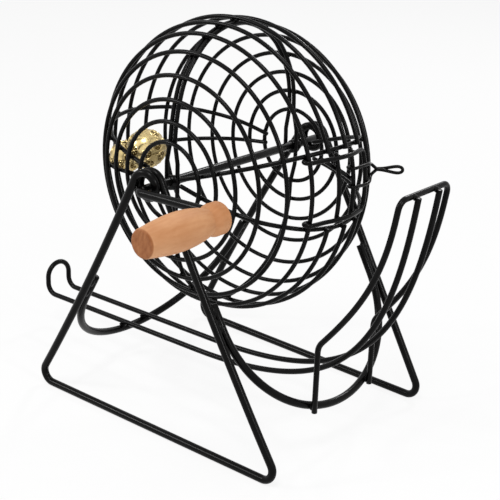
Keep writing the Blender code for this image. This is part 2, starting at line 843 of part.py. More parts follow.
def latch_hinge():
    """The two places where the latch's hooks go round the outer cross bar."""
    ends = []
    for side in (-1, 1):
        height = latch_height + side * latch_arm_half_spread
        reach = gate_reach(height, gate_bar_places[1], gate_bar_lift())
        ends.append(gate_place(height, gate_bar_places[1], reach))
    return ends


def add_latch(gate_pivot):
    """The wire latch, which turns on the gate's outer cross bar."""
    low, high = latch_hinge()
    latch_pivot = pivot_at("latch_pivot", (low + high) / 2, gate_pivot)
    tube("latch_wire", latch_path(), latch_wire_radius, "black_cage", latch_pivot)


def bell_outline(radius):
    """Half outline of a hollow bell: boss, dome, waist band, dome, mouth and inner wall."""
    ball = radius - bell_band_depth
    boss_angle = math.asin(bell_boss_radius / ball)
    band_angle = math.asin(bell_band_height / 2 / ball)
    mouth_angle = math.asin((bell_mouth_radius + bell_rim_width) / ball)
    outline = [(0.0, ball + bell_boss_height), (bell_boss_radius, ball + bell_boss_height)]
    first, last = boss_angle, math.pi / 2 - band_angle
    for step in range(bell_profile_steps):
        angle = first + (last - first) * step / (bell_profile_steps - 1)
        outline.append((ball * math.sin(angle), ball * math.cos(angle)))
    outline += [(radius, bell_band_height / 4), (radius, -bell_band_height / 4)]
    first, last = math.pi / 2 + band_angle, math.pi - mouth_angle
    for step in range(bell_profile_steps):
        angle = first + (last - first) * step / (bell_profile_steps - 1)
        outline.append((ball * math.sin(angle), ball * math.cos(angle)))
    inside = ball - bell_wall
    first = math.pi - math.asin(bell_mouth_radius / inside)
    for step in range(bell_inside_steps):
        angle = first * (1 - step / bell_inside_steps)
        outline.append((inside * math.sin(angle), inside * math.cos(angle)))
    outline.append((0.0, inside))
    return outline


def bell_places():
    """Centres of the two bells: each lies inside a back rib, and they touch each other."""
    reach = bell_large_radius + cage_wire_radius + seat_gap
    large = round_axle(*lifted(bell_large_share, rib_lift() - reach), back_upper_angle)
    small_ball = bell_small_radius - bell_band_depth
    apart = bell_large_radius + small_ball + seat_gap
    reach = small_ball + cage_wire_radius + seat_gap
    low, high = bell_large_share, 0.5
    while high - low > 0.00001:
        middle = (low + high) / 2
        radius = lifted(middle, rib_lift() - reach)[0]
        aside = 2 * radius * math.sin((back_lower_angle - bell_small_angle) / 2)
        depth = math.sqrt(reach * reach - aside * aside)
        small = round_axle(*lifted(middle, rib_lift() - depth), bell_small_angle)
        if (small - large).length < apart:
            low = middle
        else:
            high = middle
    return large, small


def add_bells(cage_pivot):
    """Two brass bells inside the cage, one with its mouth down and one with its mouth up."""
    large, small = bell_places()
    turned("brass_bell_large", bell_outline(bell_large_radius), "brass", bell_steps,
           Matrix.Translation(large), cage_pivot)
    turned("brass_bell_small", bell_outline(bell_small_radius), "brass", bell_steps,
           Matrix.Translation(small) @ Matrix.Rotation(math.pi, 4, "X"), cage_pivot)


def main():
    """Build the whole part."""
    cage_pivot = pivot_at("cage_pivot", Vector((0.0, 0.0, axle_height)))
    add_stand()
    add_crank(cage_pivot)
    add_rings(cage_pivot)
    add_ribs(cage_pivot)
    gate_pivot = add_gate(cage_pivot)
    add_latch(gate_pivot)
    add_bells(cage_pivot)


PLACES = {}
clear_scene()
COLLECTION = new_collection(COLLECTION_NAME)
PROFILE = cage_profile()
main()
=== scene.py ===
"""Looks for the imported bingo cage: finished wires, welds, brass bells, wooden grip and a plain studio."""
import json
import math

import bpy
import numpy as np
from mathutils import Matrix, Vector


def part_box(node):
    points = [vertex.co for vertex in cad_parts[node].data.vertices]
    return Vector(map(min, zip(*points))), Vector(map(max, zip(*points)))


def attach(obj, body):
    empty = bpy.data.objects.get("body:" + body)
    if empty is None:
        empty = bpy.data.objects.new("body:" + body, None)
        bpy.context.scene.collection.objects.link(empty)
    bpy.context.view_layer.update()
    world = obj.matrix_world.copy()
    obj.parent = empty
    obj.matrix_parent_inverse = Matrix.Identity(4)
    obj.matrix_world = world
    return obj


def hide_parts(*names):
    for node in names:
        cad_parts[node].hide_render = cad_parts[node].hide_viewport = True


bl_info = {
    "name": "Bingo cage looks",
    "version": (1, 0, 0),
    "blender": (4, 5, 0),
    "location": "View3D > Sidebar > Bingo cage",
    "description": "Finished wires, welds, bells and grip around the packed bingo cage",
    "category": "Object",
}

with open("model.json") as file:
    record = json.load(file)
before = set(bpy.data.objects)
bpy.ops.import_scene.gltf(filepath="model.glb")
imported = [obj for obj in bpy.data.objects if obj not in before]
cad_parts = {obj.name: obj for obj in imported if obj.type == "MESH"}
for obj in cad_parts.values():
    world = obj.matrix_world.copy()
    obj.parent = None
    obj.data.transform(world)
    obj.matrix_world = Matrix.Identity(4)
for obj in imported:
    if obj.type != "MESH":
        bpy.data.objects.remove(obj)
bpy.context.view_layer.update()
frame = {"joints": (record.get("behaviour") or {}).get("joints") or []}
PIVOTS = {joint["name"]: joint["pos_m"] for joint in frame["joints"]}

# Directions: the cage's axle runs along Y, and the tray is at the front, towards +X. No stretch of the
# tray's and rails' wires runs along SKEW, so it can be their reference
ALONG_X = np.array([1.0, 0.0, 0.0])
ALONG_Y = np.array([0.0, 1.0, 0.0])
ALONG_Z = np.array([0.0, 0.0, 1.0])
SKEW = np.array([1.0, 1.0, 0.0]) / math.sqrt(2.0)

# Gaps, as in the solids: between wires that rest on each other, where one turns in another, and in a hook
SEAT_GAP = 0.0003
RUNNING_GAP = 0.00045
HOOK_GAP = 0.0005

# A-frames, as in the solids: x and y of the base's corners, bow of the legs, their bends, and the eyes.
# A key is (side, end): side is +1 at the front, and end is -1 at the near frame, which is the crank's
BASES = {(-1, -1): (-0.1146, -0.0856), (1, -1): (0.1156, -0.0838),
         (-1, 1): (-0.1110, 0.0880), (1, 1): (0.1164, 0.0824)}
LEG_BOWS = {(-1, -1): 0.0028, (1, -1): 0.0030, (-1, 1): -0.0030, (1, 1): 0.0}
BASE_CORNER = 0.0080
LEG_START_SHARE = 0.15
AXLE_HEIGHT = PIVOTS["cage_turn"][2]
EYE_HALF_SPACING = 0.0869
EYE_RADIUS = 0.0085

# Spreaders: straight share of their drop, and heights of the top and the bottom
SPREADER_STRAIGHT_SHARE = 0.20
FRONT_SPREADER = (0.1080, 0.0285)
REAR_SPREADER = (0.0990, 0.0221)

# Tray: half width, half spread and height of the feet, height of the knee, lean of the sides over it,
# x and height of the top, reach of the sides' handles at both ends, lean at the top and the corners' bend
TRAY_HALF_WIDTH = 0.0280
TRAY_FOOT = (0.0308, 0.0300)
TRAY_KNEE = 0.0790
TRAY_KNEE_BEND = 0.0120
TRAY_LEAN = math.radians(49.0)
TRAY_TOP = (0.1528, 0.1905)
TRAY_HANDLES = (0.0460, 0.0520)
TRAY_TOP_LEAN = math.radians(83.5)
TRAY_CORNER = 0.0065

# Rails: half gap between them, y of their tops on the crossbar, slope of the straight run, where it starts,
# reach of the curve's handles at both ends, lean at the top, and the upturned hairpin at the back
RAIL_HALF_GAP = 0.0110
RAIL_TOPS = (-0.0138, 0.0102)
RAIL_SLOPE = math.radians(0.7)
RAIL_BEND_X = -0.0250
RAIL_HANDLES = (0.1300, 0.1150)
RAIL_TOP_LEAN = math.radians(83.0)
RAIL_BACK_X = -0.1890
RAIL_BACK_BEND = 0.0080
RAIL_STOP_HEIGHT = 0.0508

# Cage, as in the solids: y of its poles, radius and y of its hoops, which count from 0 at the crank's end,
# steps of the outline between two hoops, steps round a tiny hoop and those that the largest has beyond
# them, places of the ribs as angles round the axle, and the hoops that stop at the gate
POLES = (-0.0678, 0.0645)
RING_RADII = (0.0267, 0.0400, 0.0538, 0.0686, 0.0824, 0.0928, 0.0984, 0.1008,
              0.0984, 0.0930, 0.0828, 0.0690, 0.0544, 0.0404, 0.0266)
RING_PLACES = (-0.0675, -0.0662, -0.0633, -0.0577, -0.0469, -0.0347, -0.0213, -0.0059,
               0.0102, 0.0257, 0.0412, 0.0523, 0.0596, 0.0627, 0.0635)
OUTLINE_STEPS = 40
HOOP_STEPS = (48, 72)
RIB_END_INSET = 0.0045
RIB_PAIR = 0.0020
GATE_TOP_ANGLE = math.radians(18.5)
GATE_BOTTOM_ANGLE = math.radians(-12.4)
BACK_UPPER_ANGLE = math.radians(167.7)
BACK_LOWER_ANGLE = math.radians(184.8)
GATE_RINGS = (6, 7, 8)
RING_END_INSET = math.radians(0.9)

# Crank: the axle's far overhang, gap of the arm to the eye, its length and tilt, the bends and the spindle
AXLE_OVERHANG = 0.0010
CRANK_GAP = 0.0009
CRANK_RADIUS = 0.0745
CRANK_TILT = math.radians(1.7)
CRANK_BEND = 0.0060
SPINDLE_BEND = 0.0036
SPINDLE_IN_GRIP = 0.0590

# Gate: the hoops that carry it and catch its latch, its height, angle and lift off the hoops, y of its end
# and its bars, and its hooks. The brace's knee is given as height in the gate and y
HINGE_RING = 5
CATCH_RING = 9
GATE_HALF_HEIGHT = 0.0203
GATE_MIDDLE_ANGLE = math.radians(3.6)
GATE_LIFT = 0.0010
GATE_END_Y = 0.0155
GATE_CORNER = 0.0045
GATE_CORNER_CLEAR = 0.0002
GATE_FLUSH_RUN = 0.0090
GATE_BARS = (-0.0132, 0.0024)
GATE_BAR_OVERRUN = 0.0010
HOOK_SWEEP = math.radians(215.0)
BRACE_START_Y = -0.0250
BRACE_KNEE = (-0.0005, 0.0085)
BRACE_KNEE_BEND = 0.0020
BRACE_END_Y = 0.0120
BRACE_RAMP_SHARE = 0.30

# Latch: height of its crossing in the gate, half spread of its arms, y and rise from the catch hoop to the
# crossing, the finger loop's length, angle, half width and gap at the crossing, and the share by which the
# arms have drawn together at the hoop. LATCH_SWELL brings the loop's widest place to that half width
LATCH_HEIGHT = 0.0042
LATCH_HALF_SPREAD = 0.0062
LATCH_TWIST = (0.0028, 0.0030)
LATCH_LOOP_LENGTH = 0.0165
LATCH_LOOP_ANGLE = math.radians(62.0)
LATCH_LOOP_HALF_WIDTH = 0.0020
LATCH_TWIST_GAP = 0.0005
LATCH_DRAW_SHARE = 0.45
LATCH_SWELL = 1.75

# Faces round the wires whose count isn't a setting, and the small round at a wire's ends, as a share of the
# wire's radius and the share of that at which the round's middle lies
STAND_WIRE_SIDES = 20
CLIP_WIRE_SIDES = 14
ROD_SIDES = 28
END_ROUND_SHARE = 0.18
END_CORNER_SHARE = 0.30

# Weld beads: half axes along the wire, across it and out of it, in metres or as shares of a wire's radius,
# and places of the spreaders' as shares of their drop
SPREADER_WELD = (0.0054, 0.0024, 0.0031)
SPREADER_WELD_SHARES = (0.04, 0.16)
RAIL_WELD = (0.0026, 0.0024, 0.0012)
TRAY_WELD = (0.0030, 0.0022, 0.0014)
RAIL_TOP_WELD = (0.0026, 0.0021, 0.0012)
RAIL_TOP_WELD_DROP = 0.0004
RIB_WELD_SHARES = (1.15, 1.05, 0.95)
GATE_WELD_SHARES = (1.15, 1.15, 0.95)

# Least y from the cage's middle at which two wires are taken to cross, and the drop that a leg's heading
# is taken over
CROSSING_LEAST_Y = 0.004
LEG_STEP = 0.01

# Lumps of weld on the hubs: x, height over the axle and half width of each, then the half depth of all and
# their height as a share of the width
HUB_LUMPS = ((0.0, -0.0010, 0.0058), (0.0022, 0.0006, 0.0048), (-0.0021, -0.0022, 0.0050))
HUB_LUMP_HALF_DEPTH = 0.0030
HUB_LUMP_HEIGHT_SHARE = 0.86

# Turned grip: radii, round of its edges, depths at which the flare's straight part starts and ends and the
# neck is reached, power that sets the barrel's thickest place, share of the end's flat face, and the bore
GRIP_FLARE = 0.0103
GRIP_NECK = 0.0086
GRIP_BARREL = 0.0118
GRIP_END = 0.0091
GRIP_EDGE = 0.0018
GRIP_SHOULDER = (0.0060, 0.0072)
GRIP_NECK_DEPTH = 0.0130
GRIP_SWELL_POWER = 0.85
GRIP_END_FACE_SHARE = 0.6
BORE_GAP = 0.00008
BORE_CHAMFER = 0.0004

# Grain of the beech: where the tree's middle lay beside the grip's, turn of the growth bands' wave per metre,
# and where along Y from its end the darker flare, the inner and the free end grain fade
PITH = (-0.021, 0.017)
GROWTH_WAVE = 2300.0
FLARE_FADE = (-0.0170, -0.0110)
INNER_END_FADE = (-0.0010, -0.0002)
FREE_END_FADE = (0.0003, 0.0012)

# Bells: depth of the relief, wall, mouth, middles of the smooth parts, rings of rosettes round those as
# angle from the middle, count, first angle round it and size, and bulge of the rolled lip
BELL_RELIEF_DEPTH = 0.0011
BELL_WALL = 0.0012
BELL_MOUTH = 0.0046
BELL_MIDDLES = ((0.394, -0.611, 0.686), (0.10, -0.86, 0.42))
BELL_ROSETTES = ((0.82, 6, 0.86, 0.29), (1.46, 8, 0.30, 0.34), (2.10, 7, 0.0, 0.34), (2.72, 4, 0.2, 0.30))
LIP_BULGE = 1.4

# Relief of the bells, in heights from 0 to 1: the plain ball, its seam as depth, tilt over the waist and
# width, the rosettes' hollow and their petals. The rest are middle and width of the hollow's edge, the rim,
# the petals and the bead, as shares of a rosette's size from its middle
PLAIN_HEIGHT = 0.62
SEAM = (0.45, -0.05, 0.03)
HOLLOW_HEIGHT = 0.12
PETAL_HEIGHT = 0.6
PETAL_COUNT = 6
HOLLOW_EDGE_SHARES = (0.92, 0.04)
RIM_SHARES = (0.90, 0.12)
PETAL_SHARES = (0.50, 0.15)
BEAD_SHARES = (0.0, 0.22)

# Studio: half width of the floor, where the lamps aim, each lamp's place and width, and the camera
# as it was fitted to the photograph
FLOOR_REACH = 14.0
LAMP_AIM = (0.0, 0.0, 0.13)
KEY_LAMP = ((0.18, -0.80, 1.75), 0.60)
FILL_LAMPS = (("left_lamp", (-1.05, -1.05, 0.95), 0.24), ("right_lamp", (1.45, -0.25, 0.95), 0.24),
              ("back_lamp", (-0.35, 1.35, 1.25), 0.24))
CAMERA_PLACE = (0.51806, -0.61241, 0.41177)
CAMERA_HEADING = (-0.5944, 0.7239, -0.3502)
CAMERA_ROLL = math.radians(1.99)
CAMERA_LENS = 86.36
CAMERA_SENSOR = 36.0
CAMERA_CLIP_START = 0.01


class BINGO_PG_sizes(bpy.types.PropertyGroup):
    """Sizes of the wires, the grip and the bells."""
    frame_wire: bpy.props.FloatProperty(
        name="Stand wire radius", description="Radius of the A-frames' and spreaders' wire",
        default=0.00275, min=0.001, max=0.006, precision=5, unit="LENGTH")
    tray_wire: bpy.props.FloatProperty(
        name="Tray wire radius", description="Radius of the tray's and rails' wire",
        default=0.0020, min=0.001, max=0.004, precision=5, unit="LENGTH")
    cage_wire: bpy.props.FloatProperty(
        name="Cage wire radius", description="Radius of the hoops', ribs' and gate's wire",
        default=0.0015, min=0.0005, max=0.003, precision=5, unit="LENGTH")
    latch_wire: bpy.props.FloatProperty(
        name="Latch wire radius", description="Radius of the latch's wire",
        default=0.0011, min=0.0005, max=0.002, precision=5, unit="LENGTH")
    axle: bpy.props.FloatProperty(
        name="Axle radius", description="Radius of the axle and crank rod",
        default=0.0030, min=0.001, max=0.006, precision=5, unit="LENGTH")
    wire_sides: bpy.props.IntProperty(
        name="Cage wire sides", description="Faces round the hoops', ribs' and bars' wire",
        default=12, min=8, max=48)
    grip_length: bpy.props.FloatProperty(
        name="Grip length", description="Length of the wooden grip",
        default=0.0660, min=0.03, max=0.12, precision=4, unit="LENGTH")
    bell_large: bpy.props.FloatProperty(
        name="Large bell radius", description="Radius of the large bell over its relief",
        default=0.0138, min=0.005, max=0.02, precision=5, unit="LENGTH")
    bell_small: bpy.props.FloatProperty(
        name="Small bell radius", description="Radius of the small bell over its relief",
        default=0.0118, min=0.005, max=0.02, precision=5, unit="LENGTH")


class BINGO_PG_finishes(bpy.types.PropertyGroup):
    """Colours and roughness of the finishes."""
    coat_dark: bpy.props.FloatVectorProperty(
        name="Powder coat", description="Darker tone of the powder coat", subtype="COLOR",
        default=(0.0011, 0.0010, 0.0010), min=0.0, max=1.0)
    coat_light: bpy.props.FloatVectorProperty(
        name="Powder coat, worn", description="Lighter tone of the powder coat", subtype="COLOR",
        default=(0.0026, 0.0024, 0.0023), min=0.0, max=1.0)
    coat_roughness: bpy.props.FloatProperty(
        name="Coat roughness", description="Mean roughness of the powder coat",
        default=0.26, min=0.05, max=1.0, subtype="FACTOR")
    coat_shine: bpy.props.FloatProperty(
        name="Coat shine", description="Specular level of the powder coat",
        default=0.095, min=0.0, max=1.0, subtype="FACTOR")
    wood_light: bpy.props.FloatVectorProperty(
        name="Beech, light", description="Early wood of the grip", subtype="COLOR",
        default=(0.640, 0.325, 0.155), min=0.0, max=1.0)
    wood_dark: bpy.props.FloatVectorProperty(
        name="Beech, dark", description="Late wood and flecks of the grip", subtype="COLOR",
        default=(0.470, 0.190, 0.068), min=0.0, max=1.0)
    wood_end: bpy.props.FloatVectorProperty(
        name="Beech, end grain", description="End grain of the grip", subtype="COLOR",
        default=(0.245, 0.072, 0.016), min=0.0, max=1.0)
    brass_bright: bpy.props.FloatVectorProperty(
        name="Brass", description="Polished brass on the raised relief", subtype="COLOR",
        default=(0.830, 0.650, 0.310), min=0.0, max=1.0)
    brass_dark: bpy.props.FloatVectorProperty(
        name="Brass, tarnished", description="Tarnished brass in the hollows", subtype="COLOR",
        default=(0.070, 0.041, 0.007), min=0.0, max=1.0)


class BINGO_PG_studio(bpy.types.PropertyGroup):
    """Lamps and floor of the studio."""
    key_power: bpy.props.FloatProperty(
        name="Key light", description="Power of the large lamp overhead",
        default=12.5, min=0.0, max=200.0, unit="POWER")
    fill_power: bpy.props.FloatProperty(
        name="Fill light", description="Power of each lamp round the object",
        default=7.5, min=0.0, max=200.0, unit="POWER")
    room_level: bpy.props.FloatProperty(
        name="Room light", description="Strength of the even light from all round",
        default=0.36, min=0.0, max=2.0, subtype="FACTOR")
    floor_colour: bpy.props.FloatVectorProperty(
        name="Floor", description="Colour of the floor and the backdrop", subtype="COLOR",
        default=(0.92, 0.92, 0.92), min=0.0, max=1.0)
    floor_glow: bpy.props.FloatProperty(
        name="Floor glow", description="Share of plain white in the floor that the camera sees",
        default=0.87, min=0.0, max=1.0, subtype="FACTOR")


# Vectors and paths
def unit(vectors):
    """Vectors divided by their own lengths, along the last axis."""
    vectors = np.asarray(vectors, float)
    return vectors / np.linalg.norm(vectors, axis=-1, keepdims=True)


def point(x, y, z):
    """A place as an array."""
    return np.array([x, y, z], float)


def cubic(start, handle, end_handle, end, count=64):
    """A cubic Bezier curve: the four places weighted by the Bernstein polynomials of t."""
    t = np.linspace(0.0, 1.0, count)[:, None]
    s = 1.0 - t
    return start * s ** 3 + handle * (3 * s * s * t) + end_handle * (3 * s * t * t) + end * t ** 3


def bend(before, at, after, radius, count=14):
    """A round bend for a sharp corner: spokes of the touching circle, blended by sines of the swept angle."""
    back, ahead = unit(before - at), unit(after - at)
    half = math.acos(float(np.clip(back @ ahead, -1.0, 1.0))) / 2
    cut = radius / math.tan(half)
    centre = at + unit(back + ahead) * (radius / math.sin(half))
    start, end = at + back * cut - centre, at + ahead * cut - centre
    sweep = math.pi - 2 * half
    angle = np.linspace(0.0, sweep, count)[:, None]
    return centre + (start * np.sin(sweep - angle) + end * np.sin(angle)) / math.sin(sweep)


def joined(*parts):
    """Paths set end to end, without the places that repeat."""
    path = np.concatenate([np.atleast_2d(part) for part in parts])
    apart = np.linalg.norm(np.diff(path, axis=0), axis=1) > 1e-6
    return path[np.concatenate([[True], apart])]


def flowing(path, count=6, beyond=None):
    """A smooth curve through a path's places: each stretch b to c is a cubic between its neighbours a and d.

    It leaves b along c - a and reaches c along d - b, each scaled by the stretch's share of the two chords
    there."""
    before, after = beyond or (2 * path[0] - path[1], 2 * path[-1] - path[-2])
    stops = np.concatenate([[before], path, [after]])
    a, b, c, d = (stops[start:len(stops) - 3 + start, None] for start in range(4))
    chords = [np.linalg.norm(end - start, axis=-1, keepdims=True) for start, end in ((a, b), (b, c), (c, d))]
    leaving = (c - a) * chords[1] / (chords[0] + chords[1])
    arriving = (d - b) * chords[1] / (chords[1] + chords[2])
    t = np.linspace(0.0, 1.0, count, endpoint=False)[None, :, None]
    s = 1.0 - t
    run = b * s ** 3 + (b + leaving / 3) * (3 * s * s * t) + (c - arriving / 3) * (3 * s * t * t) + c * t ** 3
    return np.concatenate([run.reshape(-1, stops.shape[1]), path[-1:]])


def crossing(path, y):
    """Where a path that runs along Y passes a y, by straight interpolation, and its heading from above."""
    place = np.array([np.interp(y, path[:, 1], path[:, axis]) for axis in range(3)])
    index = int(np.searchsorted(path[:, 1], y))
    heading = unit((path[index] - path[index - 1])[:2])
    return place, heading


# Meshes
def solid_of(grid, closed=False):
    """Vertices and faces of a grid whose columns go round; open rows end in poles, closed ones go round."""
    rows, columns = grid.shape[:2]
    index = np.arange(rows * columns).reshape(rows, columns)
    if closed:
        lower, upper = index, np.roll(index, -1, axis=0)
        fans = []
    else:
        lower, upper = index[1:-2], index[2:-1]
        first, last = index[1], index[-2]
        fans = [np.stack([np.full(columns, index[0, 0]), np.roll(first, -1), first], axis=1),
                np.stack([np.full(columns, index[-1, 0]), last, np.roll(last, -1)], axis=1)]
    quads = np.stack([lower, np.roll(lower, -1, axis=1), np.roll(upper, -1, axis=1), upper], axis=-1)
    faces = [quads.reshape(-1, 4)] + fans
    used, flat = np.unique(np.concatenate([face.ravel() for face in faces]), return_inverse=True)
    places = grid.reshape(-1, 3)[used]
    cuts = np.cumsum([face.size for face in faces])[:-1]
    faces = [part.reshape(face.shape) for part, face in zip(np.split(flat, cuts), faces)]
    if enclosed(places, faces) < 0:
        faces = [face[:, ::-1] for face in faces]
    return places, faces


def enclosed(places, faces):
    """Signed volume inside the faces: the sum of the triple products of their fanned triangles."""
    total = 0.0
    for face in faces:
        for corner in range(1, face.shape[1] - 1):
            a, b, c = places[face[:, 0]], places[face[:, corner]], places[face[:, corner + 1]]
            total += float(np.einsum("ij,ij->", a, np.cross(b, c)))
    return total


def put_piece(name, solids, finish, body, replaced=(), crease=40.0, relief=None):
    """Make a piece of one or more solids, give it a finish and let it ride on a body.

    Edges that bend by more than crease degrees are sharp, and relief is a value for each place."""
    places, faces, start = [], [], 0
    for part_places, part_faces in solids:
        places.append(part_places)
        for face in part_faces:
            faces += (face + start).tolist()
        start += len(part_places)
    mesh = bpy.data.meshes.new(name)
    mesh.from_pydata(np.concatenate(places).tolist(), [], faces)
    mesh.polygons.foreach_set("use_smooth", np.ones(len(faces), bool))
    mesh.set_sharp_from_angle(angle=math.radians(crease))
    mesh.materials.append(finish)
    if relief is not None:
        mesh.attributes.new("relief", "FLOAT", "POINT").data.foreach_set("value", relief)
    item = bpy.data.objects.new(name, mesh)
    bpy.context.scene.collection.objects.link(item)
    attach(item, body)
    if replaced:
        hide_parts(*replaced)


def wire(path, radius, reference, closed=False, sides=None):
    """A round wire: place (i, j) is path i plus radius times (cos a_j side_i + sin a_j rise_i).

    side_i is square to the path and to the reference, and rise_i to the path and to side_i. Open ends are
    flat with a small round at the edge."""
    sides = sides or bpy.context.scene.bingo_sizes.wire_sides
    if closed:
        heading = unit(np.roll(path, -1, axis=0) - np.roll(path, 1, axis=0))
        reach = np.full(len(path), radius)
    else:
        heading = unit(np.gradient(path, axis=0))
        edge = END_ROUND_SHARE * radius
        corner = END_CORNER_SHARE * edge
        inset = np.array([0.0, 0.0, corner])[:, None]
        start = path[0] + heading[0] * inset
        end = path[-1] - heading[-1] * inset[::-1]
        body = path[1:-1]
        ramp = np.array([0.0, radius - edge, radius - corner])
        near, far = path[0] + heading[0] * edge, path[-1] - heading[-1] * edge
        path = np.concatenate([start, [near], body, [far], end])
        heading = np.concatenate([np.repeat(heading[:1], 4, axis=0), heading[1:-1],
                                  np.repeat(heading[-1:], 4, axis=0)])
        reach = np.concatenate([ramp, [radius], np.full(len(body), radius), [radius], ramp[::-1]])
    side = unit(np.cross(heading, reference))
    rise = np.cross(heading, side)
    angle = np.linspace(0.0, 2 * math.pi, sides, endpoint=False)[None, :, None]
    ring = np.cos(angle) * side[:, None] + np.sin(angle) * rise[:, None]
    return solid_of(path[:, None] + reach[:, None, None] * ring, closed)


def blob(middle, axes, rows=6, columns=10):
    """A lump of weld: an ellipsoid with half axes given as three vectors, from its polar angles."""
    tilt = np.linspace(0.0, math.pi, rows)[:, None, None]
    turn = np.linspace(0.0, 2 * math.pi, columns, endpoint=False)[None, :, None]
    first, second, third = axes
    flat, rise = np.sin(tilt), np.cos(tilt)
    return solid_of(middle + first * flat * np.cos(turn) + second * flat * np.sin(turn) + third * rise)


def lathe(outline, columns):
    """A turned form about Z: each (radius, height) of the outline goes round as (r cos a, r sin a, h)."""
    outline = np.asarray(outline, float)
    angle = np.linspace(0.0, 2 * math.pi, columns, endpoint=False)
    radius, height = outline[:, :1], np.repeat(outline[:, 1:], columns, axis=1)
    return np.stack([radius * np.cos(angle), radius * np.sin(angle), height], axis=-1)


# Shader maths
class Number:
    """A number's socket in a node tree; arithmetic on it adds Math nodes."""

    def __init__(self, finish, socket):
        self.finish = finish
        self.socket = socket

    def maths(self, operation, *values):
        """One Math node on these values."""
        sockets = {place: value for place, value in enumerate(values)}
        return self.finish.number("ShaderNodeMath", {"operation": operation}, sockets)

    def __add__(self, other):
        return self.maths("ADD", self, other)

    __radd__ = __add__

    def __sub__(self, other):
        return self.maths("SUBTRACT", self, other)

    def __rsub__(self, other):
        return self.maths("SUBTRACT", other, self)

    def __mul__(self, other):
        return self.maths("MULTIPLY", self, other)

    __rmul__ = __mul__

    def __pow__(self, other):
        return self.maths("POWER", self, other)

    def sine(self):
        """The sine of the number."""
        return self.maths("SINE", self)

    def between(self, low, high):
        """0 below low, 1 above high and a smooth step from one to the other."""
        sockets = {"Value": self, "From Min": low, "From Max": high}
        return self.finish.number("ShaderNodeMapRange", {"interpolation_type": "SMOOTHSTEP"}, sockets)


class Finish:
    """A material or a world under construction, with one method that adds any node."""

    def __init__(self, owner, shader="Principled BSDF"):
        self.owner = owner
        owner.use_nodes = True
        self.tree = owner.node_tree
        self.shader = self.tree.nodes[shader]

    def node(self, kind, settings=None, sockets=None):
        """A node of a kind, with its settings made first and then its sockets' values or links."""
        made = self.tree.nodes.new(kind)
        for name, value in (settings or {}).items():
            setattr(made, name, value)
        for name, value in (sockets or {}).items():
            self.feed(made.inputs[name], value)
        return made

    def feed(self, socket, value):
        """Link or set one socket; a colour may be given without its alpha."""
        if isinstance(value, Number):
            value = value.socket
        if isinstance(value, bpy.types.NodeSocket):
            self.tree.links.new(value, socket)
        elif hasattr(value, "__len__") and len(value) == 3 and socket.type == "RGBA":
            socket.default_value = (*value, 1.0)
        else:
            socket.default_value = value

    def number(self, kind, settings=None, sockets=None, output=0):
        """A node's output as a Number."""
        return Number(self, self.node(kind, settings, sockets).outputs[output])

    def place(self, centre=(0.0, 0.0, 0.0), stretch=(1.0, 1.0, 1.0)):
        """Object coordinates, centred on a place and stretched along the axes."""
        coordinates = self.node("ShaderNodeTexCoord").outputs["Object"]
        centred = self.vector("SUBTRACT", coordinates, centre)
        return self.vector("MULTIPLY", centred, stretch)

    def vector(self, operation, first, second):
        """One Vector Math node on two values."""
        return self.node("ShaderNodeVectorMath", {"operation": operation}, {0: first, 1: second}).outputs[0]

    def noise(self, place, scale, detail=3.0, roughness=0.5):
        """Noise from 0 to 1 at a place."""
        sockets = {"Vector": place, "Scale": scale, "Detail": detail, "Roughness": roughness}
        return self.number("ShaderNodeTexNoise", None, sockets)

    def blend(self, share, low, high):
        """A colour from low to high: the Mix node's colours are its sockets 6 and 7, and its output 2."""
        settings = {"data_type": "RGBA"}
        return self.node("ShaderNodeMix", settings, {0: share, 6: low, 7: high}).outputs[2]

    def bump(self, height, strength, distance):
        """A normal that is bent by a height."""
        sockets = {"Strength": strength, "Distance": distance, "Height": height}
        return self.node("ShaderNodeBump", None, sockets).outputs[0]

    def dress(self, **sockets):
        """Feed the shader's sockets, named with _ for a space."""
        for name, value in sockets.items():
            self.feed(self.shader.inputs[name.replace("_", " ")], value)
        return self.owner

    def backdrop_seen(self):
        """1 for rays that show the backdrop, from the camera, off metal or through glass, else 0."""
        rays = self.node("ShaderNodeLightPath").outputs
        seen = Number(self, rays["Is Camera Ray"])
        for kind in ("Is Glossy Ray", "Is Transmission Ray"):
            seen = seen.maths("MAXIMUM", seen, rays[kind])
        return seen


def powder_coat(name, tone=1.0):
    """Satin black powder coat: a faint cloud in tone, a fine orange peel and small rough patches."""
    looks = bpy.context.scene.bingo_finishes
    finish = Finish(bpy.data.materials.new(name))
    place = finish.place()
    cloud = finish.noise(place, scale=60.0)
    grain = finish.noise(place, scale=900.0, detail=2.0)
    patches = finish.noise(place, scale=260.0, detail=4.0, roughness=0.6)
    colour = finish.blend((cloud * 0.6 + patches * 0.4).between(0.40, 0.66), tuple(looks.coat_dark),
                          tuple(value * tone for value in looks.coat_light))
    roughness = looks.coat_roughness - 0.05 + patches * 0.10
    return finish.dress(Base_Color=colour, Roughness=roughness, Metallic=0.0,
                        Specular_IOR_Level=looks.coat_shine,
                        Normal=finish.bump(grain, strength=0.045, distance=0.0002))


